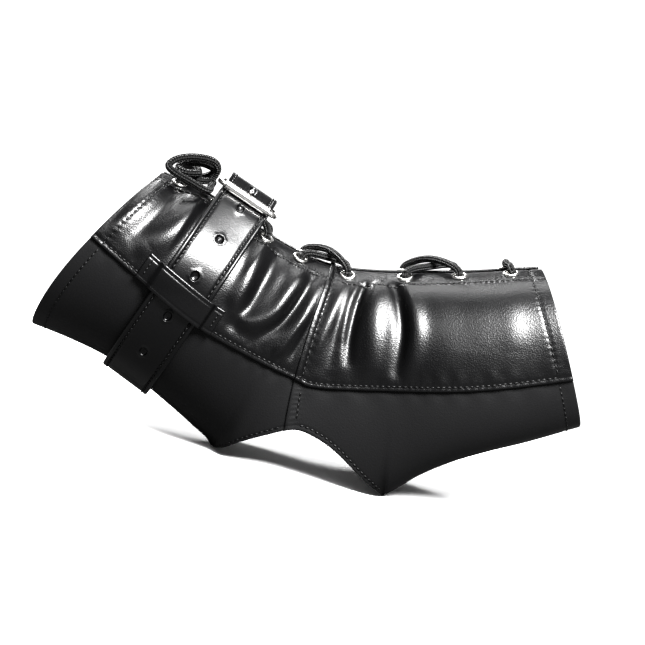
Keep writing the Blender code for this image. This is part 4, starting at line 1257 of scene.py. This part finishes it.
lace_mesh = tube("lace", lace_line, LACE_DIAMETER / 2, 24, ripple=braid_ripple)
lace_cord = braid("lace_cord", LACE_LENGTH / BRAID_PITCH, 4)
lace = finished("lace_braid", lace_mesh, lace_cord, nodes=("lace",), angle=0)
for name, end, before in (("aglet_1", route[0], route[1]), ("aglet_2", route[-1], route[-2])):
    ahead = unit(end - before)
    shares = np.array((-0.02, 0.0, 0.02, 0.5, 0.93, 0.98, 1.0))
    thin = np.array((0.80, 0.96, 1.0, 0.96, 0.9, 0.75, 0.4)) * LACE_DIAMETER / 2
    line = end + ahead * FIT_GAP + ahead * (shares * AGLET_LENGTH)[:, None]
    mesh = tube(name, line, thin, 20)
    finished(name + "_tip", mesh, aglet_plastic, nodes=(name,), angle=40)

# ---------------------------------------------------------------------------------------------
# Stage: a white floor that fades into a white surround, soft lights over the boot's two sides, and
# a camera beside the ankle.
# ---------------------------------------------------------------------------------------------

FLOOR_DIMMED, WORLD_DIMMED = 0.11, 0.18
FADE_START, FADE_END = 0.22, 0.55
CAMERA_DISTANCE, CAMERA_RISE, FOOT_SLOPE = 1.0, math.radians(7), math.radians(14.04)
VIEW_WIDTH, SENSOR_WIDTH = 0.3709, 36


def set_stage():
    floor_mesh = bpy.data.meshes.new("floor")
    flat = bmesh.new()
    bmesh.ops.create_grid(flat, x_segments=1, y_segments=1, size=6.0)
    flat.to_mesh(floor_mesh)
    flat.free()
    floor = bpy.data.objects.new("floor", floor_mesh)
    floor.location = (0, 0, -0.0002)
    bpy.context.scene.collection.objects.link(floor)
    white, tree, shader = material("floor_white", (0.92, 0.92, 0.92), 0.9, specular=0.0)
    place = fitted(tree, "ShaderNodeTexCoord", {}, {}, output=3)
    away = fitted(tree, "ShaderNodeVectorMath", {"operation": "LENGTH"}, {0: place}, output=1)
    edges = {"Value": away, "From Min": FADE_START, "From Max": FADE_END}
    fade = fitted(tree, "ShaderNodeMapRange", {"interpolation_type": "SMOOTHSTEP"}, edges)
    glow = fitted(tree, "ShaderNodeEmission", {}, {})
    lit = {0: fade, 1: Wire(tree, shader.outputs[0]), 2: glow}
    joined = fitted(tree, "ShaderNodeMixShader", {}, lit)
    # Rays that leave the boot meet a dimmer floor, so that the black leather stays black.
    direct = fitted(tree, "ShaderNodeLightPath", {}, {})
    dim = fitted(tree, "ShaderNodeBsdfDiffuse", {}, {"Color": (*[FLOOR_DIMMED] * 3, 1)})
    dimmed = fitted(tree, "ShaderNodeMixShader", {}, {0: direct, 1: dim, 2: joined})
    tree.links.new(dimmed.socket, tree.nodes["Material Output"].inputs["Surface"])
    floor_mesh.materials.append(white)
    world = bpy.data.worlds.new("studio")
    world.use_nodes = True
    sky, white = world.node_tree, (1, 1, 1, 1)
    seen = Wire(sky, sky.nodes["Background"].outputs[0])
    seen_inputs = sky.nodes["Background"].inputs
    seen_inputs["Color"].default_value, seen_inputs["Strength"].default_value = white, 1.0
    cast = fitted(sky, "ShaderNodeBackground", {}, {"Color": white, "Strength": WORLD_DIMMED})
    direct = fitted(sky, "ShaderNodeLightPath", {}, {})
    chosen = fitted(sky, "ShaderNodeMixShader", {}, {0: direct, 1: cast, 2: seen})
    sky.links.new(chosen.socket, sky.nodes["World Output"].inputs["Surface"])
    bpy.context.scene.world = world
    bpy.context.scene.view_settings.view_transform = "Standard"
    bpy.context.scene.view_settings.look = "High Contrast"


def soft_light(name, place, target, size, power):
    lamp = bpy.data.lights.new(name, "AREA")
    lamp.shape, lamp.size, lamp.size_y = "RECTANGLE", *size
    lamp.energy = power
    lit = bpy.data.objects.new(name, lamp)
    lit.location = place
    lit.rotation_euler = (Vector(target) - Vector(place)).to_track_quat("-Z", "Y").to_euler()
    lit.visible_camera = False
    bpy.context.scene.collection.objects.link(lit)


def set_camera():
    """A level-standing camera turned about its line of sight, so that the foot lies level."""
    right = Vector((math.cos(FOOT_SLOPE), 0, math.sin(FOOT_SLOPE)))
    tipped = Matrix.Rotation(-CAMERA_RISE, 3, right)
    sight = tipped @ Vector((0, 1, 0))
    up = tipped @ Vector((-math.sin(FOOT_SLOPE), 0, math.cos(FOOT_SLOPE)))
    middle = Vector((SHIFT[0] - 0.0580, 0.0, SHIFT[2] + 0.0841))
    camera = bpy.data.cameras.new("camera")
    camera.sensor_width = SENSOR_WIDTH
    camera.lens = SENSOR_WIDTH * CAMERA_DISTANCE / VIEW_WIDTH
    seen = bpy.data.objects.new("camera", camera)
    turned = Matrix((right, up, -sight)).transposed().to_4x4()
    seen.matrix_world = Matrix.Translation(middle - sight * CAMERA_DISTANCE) @ turned
    bpy.context.scene.collection.objects.link(seen)
    bpy.context.scene.camera = seen


set_stage()
soft_light("key", (0.40, -0.76, 0.95), (0, 0, 0.09), (0.48, 0.48), 56)
soft_light("fill", (-0.45, -0.95, 0.85), (0, 0, 0.09), (0.36, 0.36), 2)
soft_light("top", (-0.10, 0.20, 1.10), (0, 0, 0.09), (0.80, 0.30), 5)
soft_light("back", (0.00, 1.30, 0.30), (0, 0, 0.12), (2.00, 0.50), 6)
soft_light("back_key", (-0.45, 0.80, 0.90), (0, 0, 0.09), (0.40, 0.40), 14)
set_camera()
